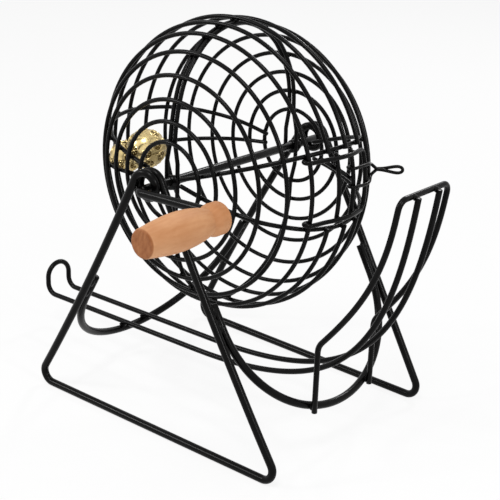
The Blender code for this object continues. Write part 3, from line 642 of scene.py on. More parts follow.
def beech(name, middle, free_end, inner_end):
    """Turned beech: growth bands and streaks along Y, short dark flecks, a darker flare and end grain."""
    looks = bpy.context.scene.bingo_finishes
    finish = Finish(bpy.data.materials.new(name))
    place = finish.place(middle)
    streaks = finish.noise(finish.place(middle, (1.0, 0.05, 1.0)), scale=520.0, detail=4.0, roughness=0.6)
    flecks = finish.noise(finish.place(middle, (1.0, 0.16, 1.0)), scale=1700.0, detail=2.0)
    flecks = flecks.between(0.60, 0.72)
    cloud = finish.noise(finish.place(middle, (1.0, 0.45, 1.0)), scale=95.0)
    axes = finish.node("ShaderNodeSeparateXYZ", None, {0: place})
    across, along, up = (Number(finish, axes.outputs[index]) for index in range(3))
    from_pith = ((across - PITH[0]) ** 2.0 + (up - PITH[1]) ** 2.0) ** 0.5
    bands = (from_pith * GROWTH_WAVE + cloud * 7.0).sine() * 0.5 + 0.5
    from_inner_end = along - (inner_end - middle[1])
    from_free_end = along - (free_end - middle[1])
    flare = from_inner_end.between(*FLARE_FADE)
    side = finish.blend(bands * 0.10 + streaks * 0.45 + cloud * 1.90 + flare * 0.30 - 0.88,
                        tuple(looks.wood_light), tuple(looks.wood_dark))
    side = finish.blend(flecks * 0.25, side, tuple(looks.wood_dark))
    pores = finish.noise(place, scale=2600.0, detail=2.0).between(0.52, 0.70)
    knots = finish.noise(finish.place(middle, (1.6, 1.0, 0.6)), scale=210.0, roughness=0.6)
    end = finish.blend(bands * 0.12 + pores * 0.20 + knots * 1.4 - 0.45, tuple(looks.wood_end),
                       tuple(looks.wood_dark))
    ends = 1.0 - from_free_end.between(*FREE_END_FADE) + from_inner_end.between(*INNER_END_FADE)
    height = streaks * 0.6 + flecks * 0.4 + pores * 0.2
    return finish.dress(Base_Color=finish.blend(ends, side, end), Roughness=0.50 + streaks * 0.16,
                        Specular_IOR_Level=0.35, Normal=finish.bump(height, strength=0.22, distance=0.0003))


def brass(name):
    """Old polished brass: bright on the raised relief, tarnished in the hollows, with a slight hammering."""
    looks = bpy.context.scene.bingo_finishes
    finish = Finish(bpy.data.materials.new(name))
    relief = finish.number("ShaderNodeAttribute", {"attribute_name": "relief"}, output="Fac")
    place = finish.place()
    stain = finish.noise(place, scale=420.0, detail=4.0, roughness=0.6)
    hammer = finish.noise(place, scale=700.0, detail=2.0)
    patina = finish.noise(place, scale=85.0).between(0.38, 0.56)
    raised = (relief + stain * 0.30 - 0.15).between(0.12, 0.66) * (patina * 0.50 + 0.50)
    colour = finish.blend(raised, tuple(looks.brass_dark), tuple(looks.brass_bright))
    roughness = 0.36 - raised * 0.16 + stain * 0.06
    return finish.dress(Base_Color=colour, Roughness=roughness, Metallic=1.0,
                        Normal=finish.bump(hammer, strength=0.03, distance=0.0003))


# The cage's outline
def outline():
    """The cage's outline, a smooth curve from the near pole through every hoop to the far pole.

    Its rows are share of the arc, radius, y, and the outward normal's reach and y, at even steps between
    the hoops."""
    hoops = np.stack([RING_RADII, RING_PLACES], axis=1)
    stops = np.concatenate([[(0.0, POLES[0])], hoops, [(0.0, POLES[1])]])
    flip = np.array([-1.0, 1.0])
    curve = flowing(stops, OUTLINE_STEPS, (hoops[0] * flip, hoops[-1] * flip))
    radius, place = curve.T
    run = np.concatenate([[0.0], np.cumsum(np.linalg.norm(np.diff(curve, axis=0), axis=1))])
    slope = unit(np.gradient(curve, axis=0))
    return run / run[-1], radius, place, slope[:, 1], -slope[:, 0]


OUTLINE = outline()
RING_SHARES = OUTLINE[0][OUTLINE_STEPS:-1:OUTLINE_STEPS]


def lifted(share, lift=0.0):
    """Radius and y of the outline at a share of its arc, moved out along its normal by lift."""
    run, radius, place, out, along = OUTLINE
    return (np.interp(share, run, radius) + np.interp(share, run, out) * lift,
            np.interp(share, run, place) + np.interp(share, run, along) * lift)


def radius_at(place, lift=0.0):
    """Radius of the lifted outline near a y."""
    run, _, places, _, _ = OUTLINE
    return lifted(np.interp(place, places, run), lift)[0]


def share_at_radius(radius, lift):
    """Share of the near half's arc at which the lifted outline has a radius."""
    shares = np.linspace(0.0, 0.5, 4001)
    return float(np.interp(radius, lifted(shares, lift)[0], shares))


def round_axle(radius, place, angle):
    """Places at radii and angles round the axle, as x = R cos a and z = axle height + R sin a."""
    radius, place, angle = np.broadcast_arrays(radius, place, angle)
    return np.stack([radius * np.cos(angle), place, AXLE_HEIGHT + radius * np.sin(angle)], axis=-1)


def rib_lift():
    """Lift of a rib's centre line, below zero because the ribs lie inside the hoops."""
    return -(2 * bpy.context.scene.bingo_sizes.cage_wire + SEAT_GAP)


# Paths of the stand
def eye_centre():
    """Height of an eye's middle, with the axle lying in its bottom."""
    sizes = bpy.context.scene.bingo_sizes
    return AXLE_HEIGHT + EYE_RADIUS - sizes.frame_wire - sizes.axle - RUNNING_GAP


def base_corner(side, end):
    """Place of a base's corner: side is +1 at the front, end is -1 at the near frame."""
    return point(*BASES[side, end], bpy.context.scene.bingo_sizes.frame_wire)


def leg_touch(side, end):
    """Angle round the eye, from the leg's own side, at which a leg leaves it."""
    across, _, low = np.abs(base_corner(side, end))
    rise = low - eye_centre()
    return math.atan2(rise, across) + math.acos(EYE_RADIUS / math.hypot(across, rise))


def eye_sweep(end):
    """Angle that the wire goes round an eye."""
    return 3 * math.pi - leg_touch(-1, end) - leg_touch(1, end)


def eye_side_step():
    """How far each leg's top stands from the eye's middle along the axle."""
    pitch = 2 * bpy.context.scene.bingo_sizes.frame_wire + RUNNING_GAP
    return pitch * max(eye_sweep(-1), eye_sweep(1)) / (4 * math.pi)


def eye(end):
    """A frame's eye: a helix of one and a third turns, with x = R cos a, z = R sin a and y in step with a."""
    part = np.linspace(0.0, 1.0, 97)
    angle = leg_touch(-end, end) + eye_sweep(end) * part
    return np.stack([-end * EYE_RADIUS * np.cos(angle),
                     end * (EYE_HALF_SPACING - eye_side_step() * (1 - 2 * part)),
                     eye_centre() + EYE_RADIUS * np.sin(angle)], axis=1)


def leg_point(height, side, end):
    """Centre of a leg at a height: a straight line from base to eye plus a parabola for its slight bow."""
    base = base_corner(side, end)
    top = eye(end)[0 if side == -end else -1]
    part = (np.asarray(height, float)[..., None] - base[2]) / (top[2] - base[2])
    return base + (top - base) * part - ALONG_X * (side * LEG_BOWS[side, end] * 4 * part * (1 - part))


def a_frame(end):
    """An A-frame as one closed wire: a base, two legs and the eye round the axle."""
    low, top = bpy.context.scene.bingo_sizes.frame_wire, eye(end)[0][2]
    heights = low + (top - low) * np.linspace(LEG_START_SHARE, 1.0, 14)[:-1]
    first, last = base_corner(-end, end), base_corner(end, end)
    rise, fall = leg_point(heights, -end, end), leg_point(heights, end, end)[::-1]
    return joined(bend(last, first, rise[0], BASE_CORNER), rise, eye(end), fall,
                  bend(fall[-1], last, first, BASE_CORNER))


def spreader(side, top, bottom):
    """A hanging U: two short straight ends and half an ellipse between them, in the legs' plane."""
    beside = ALONG_Y * (2 * bpy.context.scene.bingo_sizes.frame_wire + SEAT_GAP)
    turn = top - (top - bottom) * SPREADER_STRAIGHT_SHARE
    near_top, near_turn = leg_point(top, side, -1) + beside, leg_point(turn, side, -1) + beside
    far_top, far_turn = leg_point(top, side, 1) - beside, leg_point(turn, side, 1) - beside
    centre, half = (near_turn[1] + far_turn[1]) / 2, (far_turn[1] - near_turn[1]) / 2
    angle = np.linspace(0.0, math.pi, 97)
    height = turn - (turn - bottom) * np.sin(angle)
    near_x, far_x = (leg_point(height, side, end)[:, 0] for end in (-1, 1))
    across = near_x + (far_x - near_x) * (1 - np.cos(angle)) / 2
    arch = np.stack([across, centre - half * np.cos(angle), height], axis=1)
    return joined(near_top, arch, far_top)


def rail_support():
    """Where the rails' straight run lies on the rear spreader: its x, and the height of the rails there."""
    sizes = bpy.context.scene.bingo_sizes
    path = spreader(-1, *REAR_SPREADER)
    edge = RAIL_HALF_GAP + sizes.tray_wire
    under = max((crossing(path, side * edge)[0] for side in (-1, 1)), key=lambda place: place[2])
    return under[0], under[2] + (sizes.frame_wire + sizes.tray_wire + SEAT_GAP) / math.cos(RAIL_SLOPE)


def rail_side(end, top_y):
    """One rail: a cubic from the tray's top to the straight run, and a bend up to the hairpin."""
    radius = bpy.context.scene.bingo_sizes.tray_wire
    along = point(math.cos(RAIL_SLOPE), 0.0, math.sin(RAIL_SLOPE))
    support = point(rail_support()[0], end * RAIL_HALF_GAP, rail_support()[1])
    top = point(TRAY_TOP[0] + 2 * radius + SEAT_GAP, top_y, TRAY_TOP[1])
    straight = support + along * ((RAIL_BEND_X - support[0]) / along[0])
    lean = point(math.cos(RAIL_TOP_LEAN), 0.0, math.sin(RAIL_TOP_LEAN))
    side = cubic(top, top - lean * RAIL_HANDLES[1], straight + along * RAIL_HANDLES[0], straight)
    foot = support + along * ((RAIL_BACK_X - support[0]) / along[0])
    arch = point(RAIL_BACK_X, foot[1], RAIL_STOP_HEIGHT - RAIL_HALF_GAP)
    return joined(side, bend(straight, foot, arch, RAIL_BACK_BEND), arch)


def rails():
    """Both rails as one wire with an upturned hairpin, half a circle, at the back."""
    near, far = (rail_side(end, top_y) for end, top_y in zip((-1, 1), RAIL_TOPS))
    angle = np.linspace(0.0, math.pi, 25)[1:-1]
    stop = np.stack([np.full(len(angle), near[-1][0]), -RAIL_HALF_GAP * np.cos(angle),
                     near[-1][2] + RAIL_HALF_GAP * np.sin(angle)], axis=1)
    return joined(near, stop, far[::-1])


def tray_side(end):
    """One side of the tray: a leg, a bend, a cubic and the bend into the crossbar."""
    sizes = bpy.context.scene.bingo_sizes
    half_foot, foot_height = TRAY_FOOT
    place, heading = crossing(spreader(1, *FRONT_SPREADER), end * half_foot)
    foot_x = place[0] + (sizes.frame_wire + sizes.tray_wire + SEAT_GAP) / heading[1]
    foot, knee = point(foot_x, end * half_foot, foot_height), point(foot_x, end * half_foot, TRAY_KNEE)
    lean = point(math.cos(TRAY_LEAN), 0.0, math.sin(TRAY_LEAN))
    top = point(TRAY_TOP[0], end * TRAY_HALF_WIDTH, TRAY_TOP[1])
    top_lean = point(math.cos(TRAY_TOP_LEAN), 0.0, math.sin(TRAY_TOP_LEAN))
    side = cubic(knee, knee + lean * TRAY_HANDLES[0], top - top_lean * TRAY_HANDLES[1], top)
    cut = TRAY_KNEE_BEND * math.tan((math.pi / 2 - TRAY_LEAN) / 2) + sizes.tray_wire
    corner = TRAY_CORNER + sizes.tray_wire
    clear = (np.linalg.norm(side - knee, axis=1) > cut) & (np.linalg.norm(side - top, axis=1) > corner)
    return joined(foot, bend(foot, knee, knee + lean, TRAY_KNEE_BEND), side[clear],
                  bend(top - top_lean, top, point(top[0], 0.0, top[2]), TRAY_CORNER))


def tray():
    """The tray's wire: two legs, two curved sides and the crossbar."""
    return joined(tray_side(-1), tray_side(1)[::-1])


# Paths of the cage and the crank
def hoop(index):
    """Hoop number index: a circle round the axle, or the part of one that stops at the gate's ribs."""
    radius, place = lifted(RING_SHARES[index])
    steps = HOOP_STEPS[0] + int(HOOP_STEPS[1] * radius / max(RING_RADII))
    if index not in GATE_RINGS:
        angle = np.linspace(0.0, 2 * math.pi, steps, endpoint=False)
        return round_axle(radius, place, angle), True
    first, last = GATE_TOP_ANGLE - RING_END_INSET, 2 * math.pi + GATE_BOTTOM_ANGLE + RING_END_INSET
    return round_axle(radius, place, np.linspace(first, last, steps)), False


def rib(angle, first, last):
    """A rib inside the hoops: the lifted outline at one angle round the axle."""
    shares = np.linspace(first, last, 120)
    return round_axle(*lifted(shares, rib_lift()), angle)


def half_loop(side, rise):
    """Half of a loop that spreads round the axle: height squared is radius squared less offset squared."""
    beside = beside_axle()
    least = share_at_radius(beside + bpy.context.scene.bingo_sizes.cage_wire, rib_lift())
    radius, place = lifted(np.linspace(least, 1 - least, 260), rib_lift())
    offset = RIB_PAIR + (beside - RIB_PAIR) * np.clip(2 - 2 * radius / RING_RADII[0], 0.0, 1.0)
    height = np.sqrt(np.maximum(0.0, radius ** 2 - offset ** 2))
    return np.stack([side * offset, place, AXLE_HEIGHT + rise * height], axis=1)


def beside_axle():
    """Distance of the loops' centre lines from the axle's, where they go past it."""
    sizes = bpy.context.scene.bingo_sizes
    return sizes.axle + sizes.cage_wire + SEAT_GAP


def rib_ends():
    """Arc shares at which the ribs start: at the hub, and just inside the first hoop."""
    hub = share_at_radius(beside_axle() + 2 * bpy.context.scene.bingo_sizes.cage_wire, rib_lift())
    inner = share_at_radius(lifted(RING_SHARES[0])[0] - RIB_END_INSET, rib_lift())
    return hub, inner


def crank_offset():
    """Distance of the crank arm from the cage's middle, just past the eye."""
    sizes = bpy.context.scene.bingo_sizes
    return EYE_HALF_SPACING + eye_side_step() + sizes.frame_wire + sizes.axle + CRANK_GAP


def grip_start():
    """Distance of the grip's inner end from the cage's middle."""
    return crank_offset() + max(bpy.context.scene.bingo_sizes.axle, SPINDLE_BEND) + SEAT_GAP


def crank():
    """The axle, the crank arm and the spindle as one bent rod."""
    sizes = bpy.context.scene.bingo_sizes
    far = point(0.0, EYE_HALF_SPACING + eye_side_step() + sizes.frame_wire + AXLE_OVERHANG, AXLE_HEIGHT)
    at = point(0.0, -crank_offset(), AXLE_HEIGHT)
    knee = at + CRANK_RADIUS * point(math.cos(CRANK_TILT), 0.0, math.sin(CRANK_TILT))
    tip = point(knee[0], -(grip_start() + SPINDLE_IN_GRIP - SEAT_GAP), knee[2])
    return joined(far, bend(far, at, knee, CRANK_BEND), bend(at, knee, tip, SPINDLE_BEND), tip)


# Paths of the gate and the latch, in the gate's own axes: height along its hinge, y, and reach from the axle
def gate_axes():
    """The gate's directions: along its hinge, and out from the axle."""
    along = point(-math.sin(GATE_MIDDLE_ANGLE), 0.0, math.cos(GATE_MIDDLE_ANGLE))
    out = point(math.cos(GATE_MIDDLE_ANGLE), 0.0, math.sin(GATE_MIDDLE_ANGLE))
    return along, out


def gate_place(height, place, reach):
    """World places of points in the gate's own axes."""
    along, out = gate_axes()
    height, place, reach = (value[..., None] for value in np.broadcast_arrays(height, place, reach))
    return point(0.0, 0.0, AXLE_HEIGHT) + along * height + out * reach + ALONG_Y * place


def gate_reach(height, place, lift=0.0):
    """Reach of the lifted cage surface at a height and a y: the other side of a right triangle."""
    return np.sqrt(radius_at(place, lift) ** 2 - np.asarray(height) ** 2)


def ring_normal(index):
    """The outline's outward normal at a hoop, as reach and y."""
    run, _, _, out, along = OUTLINE
    return np.array([np.interp(RING_SHARES[index], run, out), np.interp(RING_SHARES[index], run, along)])


def hook(height, place, reach, normal, radius):
    """A wire's hook: an arc round what it goes round, from its tip to its outer side.

    The normal, given as reach and y, points to the outer side."""
    turn = HOOK_SWEEP * np.linspace(1.0, 0.0, 22)
    along = np.array([-normal[1], normal[0]])
    shift = radius * (np.cos(turn)[:, None] * normal - np.sin(turn)[:, None] * along)
    return gate_place(height, place + shift[:, 1], reach + shift[:, 0])


def gate_side(height):
    """One side wire of the gate, from its hook's tip to its end."""
    wire_radius = bpy.context.scene.bingo_sizes.cage_wire
    radius, place = lifted(RING_SHARES[HINGE_RING])
    reach = math.sqrt(radius ** 2 - GATE_HALF_HEIGHT ** 2)
    curl = hook(height, place, reach, ring_normal(HINGE_RING), 2 * wire_radius + HOOK_GAP)
    places = np.linspace(place + GATE_FLUSH_RUN, GATE_END_Y, 8)
    run = gate_place(height, places, gate_reach(height, places, GATE_LIFT))
    return joined(curl[:-3], flowing(joined(curl[-3:], run)))


def gate_frame():
    """The gate's U: hook, side, corner, bowed end, corner, side and hook."""
    upper, lower = gate_side(GATE_HALF_HEIGHT), gate_side(-GATE_HALF_HEIGHT)
    inner = GATE_HALF_HEIGHT - GATE_CORNER - bpy.context.scene.bingo_sizes.cage_wire
    heights = np.linspace(inner, -inner, 20)
    end = gate_place(heights, GATE_END_Y, gate_reach(heights, GATE_END_Y, GATE_LIFT))
    edge = GATE_END_Y - GATE_CORNER - GATE_CORNER_CLEAR
    clear_upper, clear_lower = upper[upper[:, 1] < edge], lower[lower[:, 1] < edge]
    return joined(clear_upper, bend(clear_upper[-1], upper[-1], end[0], GATE_CORNER, 12), end,
                  bend(end[-1], lower[-1], clear_lower[-1], GATE_CORNER, 12), clear_lower[::-1])


def bar_lift():
    """Lift of a cross bar's centre line, which lies under the gate's side wires."""
    return GATE_LIFT + rib_lift()


def gate_bar(place):
    """A cross bar inside the gate's side wires, bent like the cage."""
    half = GATE_HALF_HEIGHT + bpy.context.scene.bingo_sizes.cage_wire + GATE_BAR_OVERRUN
    heights = np.linspace(half, -half, 28)
    return gate_place(heights, place, gate_reach(heights, place, bar_lift()))


def brace_leg(start, end, side_first):
    """One leg of the brace under the cross bars, which comes up to a side wire at its first or last end."""
    part = np.linspace(0.0, 1.0, 20)
    height = start[0] + (end[0] - start[0]) * part
    place = start[1] + (end[1] - start[1]) * part
    from_side = part if side_first else 1 - part
    lift = bar_lift() + rib_lift() * np.minimum(1.0, from_side / BRACE_RAMP_SHARE)
    return gate_place(height, place, gate_reach(height, place, lift))


def gate_brace():
    """The brace: two legs that meet at a knee under the cross bars."""
    first = brace_leg((GATE_HALF_HEIGHT, BRACE_START_Y), BRACE_KNEE, True)
    second = brace_leg(BRACE_KNEE, (-GATE_HALF_HEIGHT, BRACE_END_Y), False)
    return joined(first[:-2], bend(first[-3], first[-1], second[2], BRACE_KNEE_BEND, 8), second[2:])


def latch_arm(height):
    """One arm of the latch: its hook on the outer cross bar, and its way over the gate's end and the hoop."""
    sizes = bpy.context.scene.bingo_sizes
    touch = sizes.cage_wire + sizes.latch_wire
    over = touch + SEAT_GAP
    reach = float(gate_reach(height, GATE_BARS[1], bar_lift()))
    curl = hook(height, GATE_BARS[1], reach, np.array([1.0, 0.0]), touch + HOOK_GAP)
    catch_y = RING_PLACES[CATCH_RING]
    drawn = height + (LATCH_HEIGHT - height) * LATCH_DRAW_SHARE
    run = np.stack([gate_place(height, GATE_END_Y, gate_reach(height, GATE_END_Y, GATE_LIFT + over)),
                    gate_place(drawn, catch_y, gate_reach(drawn, catch_y) + over)])
    return curl, run


def latch():
    """The latch: two arms, a crossing and a finger loop.

    The loop's length runs as 1 - cos a, and its width as sin a times the cube of sin a / 2, so that it is
    slim at the crossing."""
    sizes = bpy.context.scene.bingo_sizes
    twist_run, twist_rise = LATCH_TWIST
    catch_y = RING_PLACES[CATCH_RING]
    over = sizes.cage_wire + sizes.latch_wire + SEAT_GAP
    reach = float(gate_reach(LATCH_HEIGHT, catch_y)) + over + twist_rise
    turn = np.linspace(0.0, 2 * math.pi, 49)
    width = LATCH_SWELL * LATCH_LOOP_HALF_WIDTH * np.sin(turn) * np.abs(np.sin(turn / 2)) ** 3
    along = LATCH_LOOP_LENGTH * (1 - np.cos(turn)) / 2
    lift = (sizes.latch_wire + LATCH_TWIST_GAP / 2) * np.cos(turn / 2)
    out, ahead = math.sin(LATCH_LOOP_ANGLE), math.cos(LATCH_LOOP_ANGLE)
    loop = gate_place(LATCH_HEIGHT - width, catch_y + twist_run + ahead * along - out * lift,
                      reach + out * along + ahead * lift)
    upper_curl, upper_run = latch_arm(LATCH_HEIGHT + LATCH_HALF_SPREAD)
    lower_curl, lower_run = latch_arm(LATCH_HEIGHT - LATCH_HALF_SPREAD)
    into = flowing(joined(upper_curl[-2:], upper_run, loop[:2]))
    away = flowing(joined(loop[-2:], lower_run[::-1], lower_curl[-2:][::-1]))
    return joined(upper_curl[:-2], into, loop[2:-2], away, lower_curl[:-2][::-1])


# Welds
def bead(middle, first, second, third, sizes):
    """A weld bead with half axes along three directions."""
    directions = unit(np.stack([first, second, third]))
    return blob(middle, directions * np.array(sizes)[:, None])


def finer(path, count=12):
    """The same path with each stretch cut into a count of even steps."""
    t = np.linspace(0.0, 1.0, count, endpoint=False)[None, :, None]
    run = path[:-1, None] * (1 - t) + path[1:, None] * t
    return np.concatenate([run.reshape(-1, 3), path[-1:]])


def meeting(one, other, end):
    """Where two paths come closest on one side of the cage's middle, end -1 being the near one.

    It gives the middle between them and both headings there."""
    one, other = (path[path[:, 1] * end > CROSSING_LEAST_Y] for path in (finer(one), finer(other)))
    apart = np.linalg.norm(one[:, None] - other[None], axis=2)
    first, second = np.unravel_index(np.argmin(apart), apart.shape)
    headings = unit(np.gradient(one, axis=0))[first], unit(np.gradient(other, axis=0))[second]
    return (one[first] + other[second]) / 2, headings[0], headings[1]


def joint_bead(one, other, sizes, end):
    """A weld bead where two wires that cross come closest, at one end of the cage."""
    middle, heading, across = meeting(one, other, end)
    normal = np.cross(heading, across)
    return bead(middle, heading, np.cross(normal, heading), normal, sizes)


def leg_bead(height, side, end):
    """A weld bead between a leg and the end of a spreader beside it."""
    leg = leg_point(height, side, end)
    beside = leg - end * ALONG_Y * (bpy.context.scene.bingo_sizes.frame_wire + SEAT_GAP / 2)
    heading = unit(leg - leg_point(height - LEG_STEP, side, end))
    return bead(beside, heading, ALONG_Y, np.cross(heading, ALONG_Y), SPREADER_WELD)


def rib_beads(angle, offset=0.0):
    """Weld beads where a rib passes the hoops.

    The rib lies in a plane through the axle at an angle, or in an upright one at an offset beside it."""
    sizes = np.array(RIB_WELD_SHARES) * bpy.context.scene.bingo_sizes.cage_wire
    beads = []
    for index, share in enumerate(RING_SHARES):
        radius, place = lifted(share, rib_lift() / 2)
        turn = angle
        if offset:
            height = math.sqrt(radius ** 2 - offset ** 2)
            turn = math.atan2(math.copysign(height, math.sin(angle)), offset)
        out, along_y = ring_normal(index)
        spoke = point(math.cos(turn), 0.0, math.sin(turn))
        normal = spoke * out + ALONG_Y * along_y
        around = np.cross(spoke, ALONG_Y)
        beads.append(bead(round_axle(radius, place, turn), around, np.cross(around, normal), normal, sizes))
    return beads


class BingoStep:
    """What every step of the build shares: it needs a scene and can be undone."""
    bl_options = {"REGISTER", "UNDO"}

    @classmethod
    def poll(cls, context):
        return context.scene is not None


class BINGO_OT_stand(BingoStep, bpy.types.Operator):
    """Two A-frames, two spreaders, the tray, its rails and their welds"""
    bl_idname = "bingo.stand"
    bl_label = "Stand"

    def execute(self, context):
        sizes = context.scene.bingo_sizes
        coat = powder_coat("stand powder coat", tone=1.15)
        near, far = a_frame(-1), a_frame(1)
        front, rear = spreader(1, *FRONT_SPREADER), spreader(-1, *REAR_SPREADER)
        rail, wire_tray = rails(), tray()
        pieces = (
            ("near_frame_wire", near, sizes.frame_wire, ALONG_Y, True, "near_a_frame"),
            ("far_frame_wire", far, sizes.frame_wire, ALONG_Y, True, "far_a_frame"),
            ("front_spreader_wire", front, sizes.frame_wire, ALONG_X, False, "front_spreader"),
            ("rear_spreader_wire", rear, sizes.frame_wire, ALONG_X, False, "rear_spreader"),
            ("rail_wire", rail, sizes.tray_wire, SKEW, False, "ball_rails"),
            ("tray_wire", wire_tray, sizes.tray_wire, SKEW, False, "tray_frame"),
        )
        for name, path, radius, reference, closed, node in pieces:
            solid = wire(path, radius, reference, closed, STAND_WIRE_SIDES)
            put_piece(name, [solid], coat, "stand", (node,))
        beads = []
        for side, (top, bottom) in ((1, FRONT_SPREADER), (-1, REAR_SPREADER)):
            for end in (-1, 1):
                beads += [leg_bead(top - (top - bottom) * share, side, end) for share in SPREADER_WELD_SHARES]
        for end in (-1, 1):
            beads.append(joint_bead(rail, rear, RAIL_WELD, end))
            beads.append(joint_bead(wire_tray, front, TRAY_WELD, end))
        for top_y in RAIL_TOPS:
            beside = TRAY_TOP[0] + sizes.tray_wire + SEAT_GAP / 2
            middle = point(beside, top_y, TRAY_TOP[1] - RAIL_TOP_WELD_DROP)
            beads.append(bead(middle, ALONG_Y, ALONG_Z, ALONG_X, RAIL_TOP_WELD))
        put_piece("stand_welds", beads, coat, "stand")
        return {"FINISHED"}


class BINGO_OT_cage(BingoStep, bpy.types.Operator):
    """Fifteen hoops, the ribs and their welds"""
    bl_idname = "bingo.cage"
    bl_label = "Cage"

    def execute(self, context):
        sizes = context.scene.bingo_sizes
        coat = powder_coat("cage powder coat")
        for index in range(len(RING_SHARES)):
            path, closed = hoop(index)
            put_piece("hoop_%02d" % (index + 1), [wire(path, sizes.cage_wire, ALONG_Y, closed)], coat, "cage",
                      ("ring_%02d" % (index + 1),))
        upright = joined(half_loop(1, 1), half_loop(1, -1)[::-1])
        put_piece("upright_loop", [wire(upright, sizes.cage_wire, ALONG_X, True)], coat, "cage",
                  ("vertical_loop",))
        top = half_loop(-1, 1)
        tail = ALONG_Z * (-2 * sizes.axle)
        top = joined(top[0] + tail, top, top[-1] + tail)
        put_piece("top_half_rib", [wire(top, sizes.cage_wire, ALONG_X)], coat, "cage",
                  ("top_rib",))
        hub, inner = rib_ends()
        beads = []
        ribs = (("gate_upper_rib", "gate_top_rib", GATE_TOP_ANGLE, hub),
                ("gate_lower_rib", "gate_bottom_rib", GATE_BOTTOM_ANGLE, hub),
                ("back_rib_upper", "back_upper_rib", BACK_UPPER_ANGLE, inner),
                ("back_rib_lower", "back_lower_rib", BACK_LOWER_ANGLE, inner))
        for name, node, angle, first in ribs:
            across = point(-math.sin(angle), 0.0, math.cos(angle))
            path = rib(angle, first, 1 - inner)
            put_piece(name, [wire(path, sizes.cage_wire, across)], coat, "cage", (node,))
            beads += rib_beads(angle)
        for angle, offset in ((math.pi / 2, RIB_PAIR), (-math.pi / 2, RIB_PAIR), (math.pi / 2, -RIB_PAIR)):
            beads += rib_beads(angle, offset)
        put_piece("cage_welds", beads, coat, "cage")
        lumps = []
        for end in (-1, 1):
            hub_y = end * abs(upright[0][1])
            for shift, rise, reach in HUB_LUMPS:
                middle = point(shift, hub_y, AXLE_HEIGHT + rise)
                axes = np.diag([reach, HUB_LUMP_HALF_DEPTH, HUB_LUMP_HEIGHT_SHARE * reach])
                lumps.append(blob(middle, axes, rows=9, columns=16))
        put_piece("hub_welds", lumps, coat, "cage")
        return {"FINISHED"}


class BINGO_OT_gate(BingoStep, bpy.types.Operator):
    """The wire gate with its bars, brace and welds"""
    bl_idname = "bingo.gate"
    bl_label = "Gate"

    def execute(self, context):
        sizes = context.scene.bingo_sizes
        coat = powder_coat("gate powder coat", tone=1.1)
        along, out = gate_axes()
        skew = unit(along + out)
        pieces = (("gate_wire", gate_frame(), skew, CLIP_WIRE_SIDES, "gate_frame"),
                  ("gate_inner_bar", gate_bar(GATE_BARS[0]), ALONG_Y, sizes.wire_sides, "gate_bar_1"),
                  ("gate_outer_bar", gate_bar(GATE_BARS[1]), ALONG_Y, sizes.wire_sides, "gate_bar_2"),
                  ("gate_brace_wire", gate_brace(), out, sizes.wire_sides, "gate_brace"))
        for name, path, reference, sides, node in pieces:
            solid = wire(path, sizes.cage_wire, reference, False, sides)
            put_piece(name, [solid], coat, "gate", (node,))
        axes = np.array(GATE_WELD_SHARES) * sizes.cage_wire
        beads = []
        for side in (-1, 1):
            for place in GATE_BARS:
                height = side * GATE_HALF_HEIGHT
                middle = gate_place(height, place, gate_reach(height, place, GATE_LIFT + rib_lift() / 2))
                beads.append(bead(middle, ALONG_Y, along, out, axes))
        put_piece("gate_welds", beads, coat, "gate")
        return {"FINISHED"}


class BINGO_OT_latch(BingoStep, bpy.types.Operator):
    """The bent wire latch with its finger loop"""
    bl_idname = "bingo.latch"
    bl_label = "Latch"

    def execute(self, context):
        along, out = gate_axes()
        coat = powder_coat("latch powder coat", tone=1.3)
        solid = wire(latch(), context.scene.bingo_sizes.latch_wire, unit(along + out), False, CLIP_WIRE_SIDES)
        put_piece("latch_clip", [solid], coat, "latch", ("latch_wire",))
        return {"FINISHED"}


class BINGO_OT_crank(BingoStep, bpy.types.Operator):
    """The axle, crank arm and spindle"""
    bl_idname = "bingo.crank"
    bl_label = "Crank rod"

    def execute(self, context):
        coat = powder_coat("rod powder coat", tone=1.2)
        solid = wire(crank(), context.scene.bingo_sizes.axle, ALONG_Z, False, ROD_SIDES)
        put_piece("crank_rod", [solid], coat, "cage", ("crank_axle",))
        return {"FINISHED"}


def grip_profile(length):
    """Half outline of the grip: bore, flared inner end, neck, swelling barrel and flat outer end."""
    bore = bpy.context.scene.bingo_sizes.axle + BORE_GAP
    inside = np.array([[0.0, -SPINDLE_IN_GRIP], [bore, -SPINDLE_IN_GRIP], [bore, -BORE_CHAMFER],
                       [bore + BORE_CHAMFER, 0.0]])
    quarter = np.linspace(0.0, math.pi / 2, 10)
    rim = np.stack([GRIP_FLARE - GRIP_EDGE * (1 - np.sin(quarter)),
                    -GRIP_EDGE * (1 - np.cos(quarter))], axis=1)
    shoulder = np.array([[GRIP_FLARE, -depth] for depth in GRIP_SHOULDER])
    fall = np.linspace(0.0, 1.0, 9)[1:-1]
    ease = fall * fall * (3 - 2 * fall)
    waist = np.stack([GRIP_FLARE + (GRIP_NECK - GRIP_FLARE) * ease,
                      -GRIP_SHOULDER[1] + (GRIP_SHOULDER[1] - GRIP_NECK_DEPTH) * fall], axis=1)
    part = np.linspace(0.0, 1.0, 61)[:-1]
    swell = (GRIP_BARREL - (GRIP_NECK + GRIP_END) / 2) * np.sin(math.pi * part ** GRIP_SWELL_POWER)
    body = np.stack([GRIP_NECK + (GRIP_END - GRIP_NECK) * part + swell,
                     -(GRIP_NECK_DEPTH + (length - GRIP_NECK_DEPTH - GRIP_EDGE) * part)], axis=1)
    tail = np.stack([GRIP_END - GRIP_EDGE * (1 - np.cos(quarter)),
                     -length + GRIP_EDGE * (1 - np.sin(quarter))], axis=1)
    face = [[GRIP_END_FACE_SHARE * GRIP_END, -length], [0.0, -length]]
    return np.concatenate([inside, rim, shoulder, waist, body, tail, face])


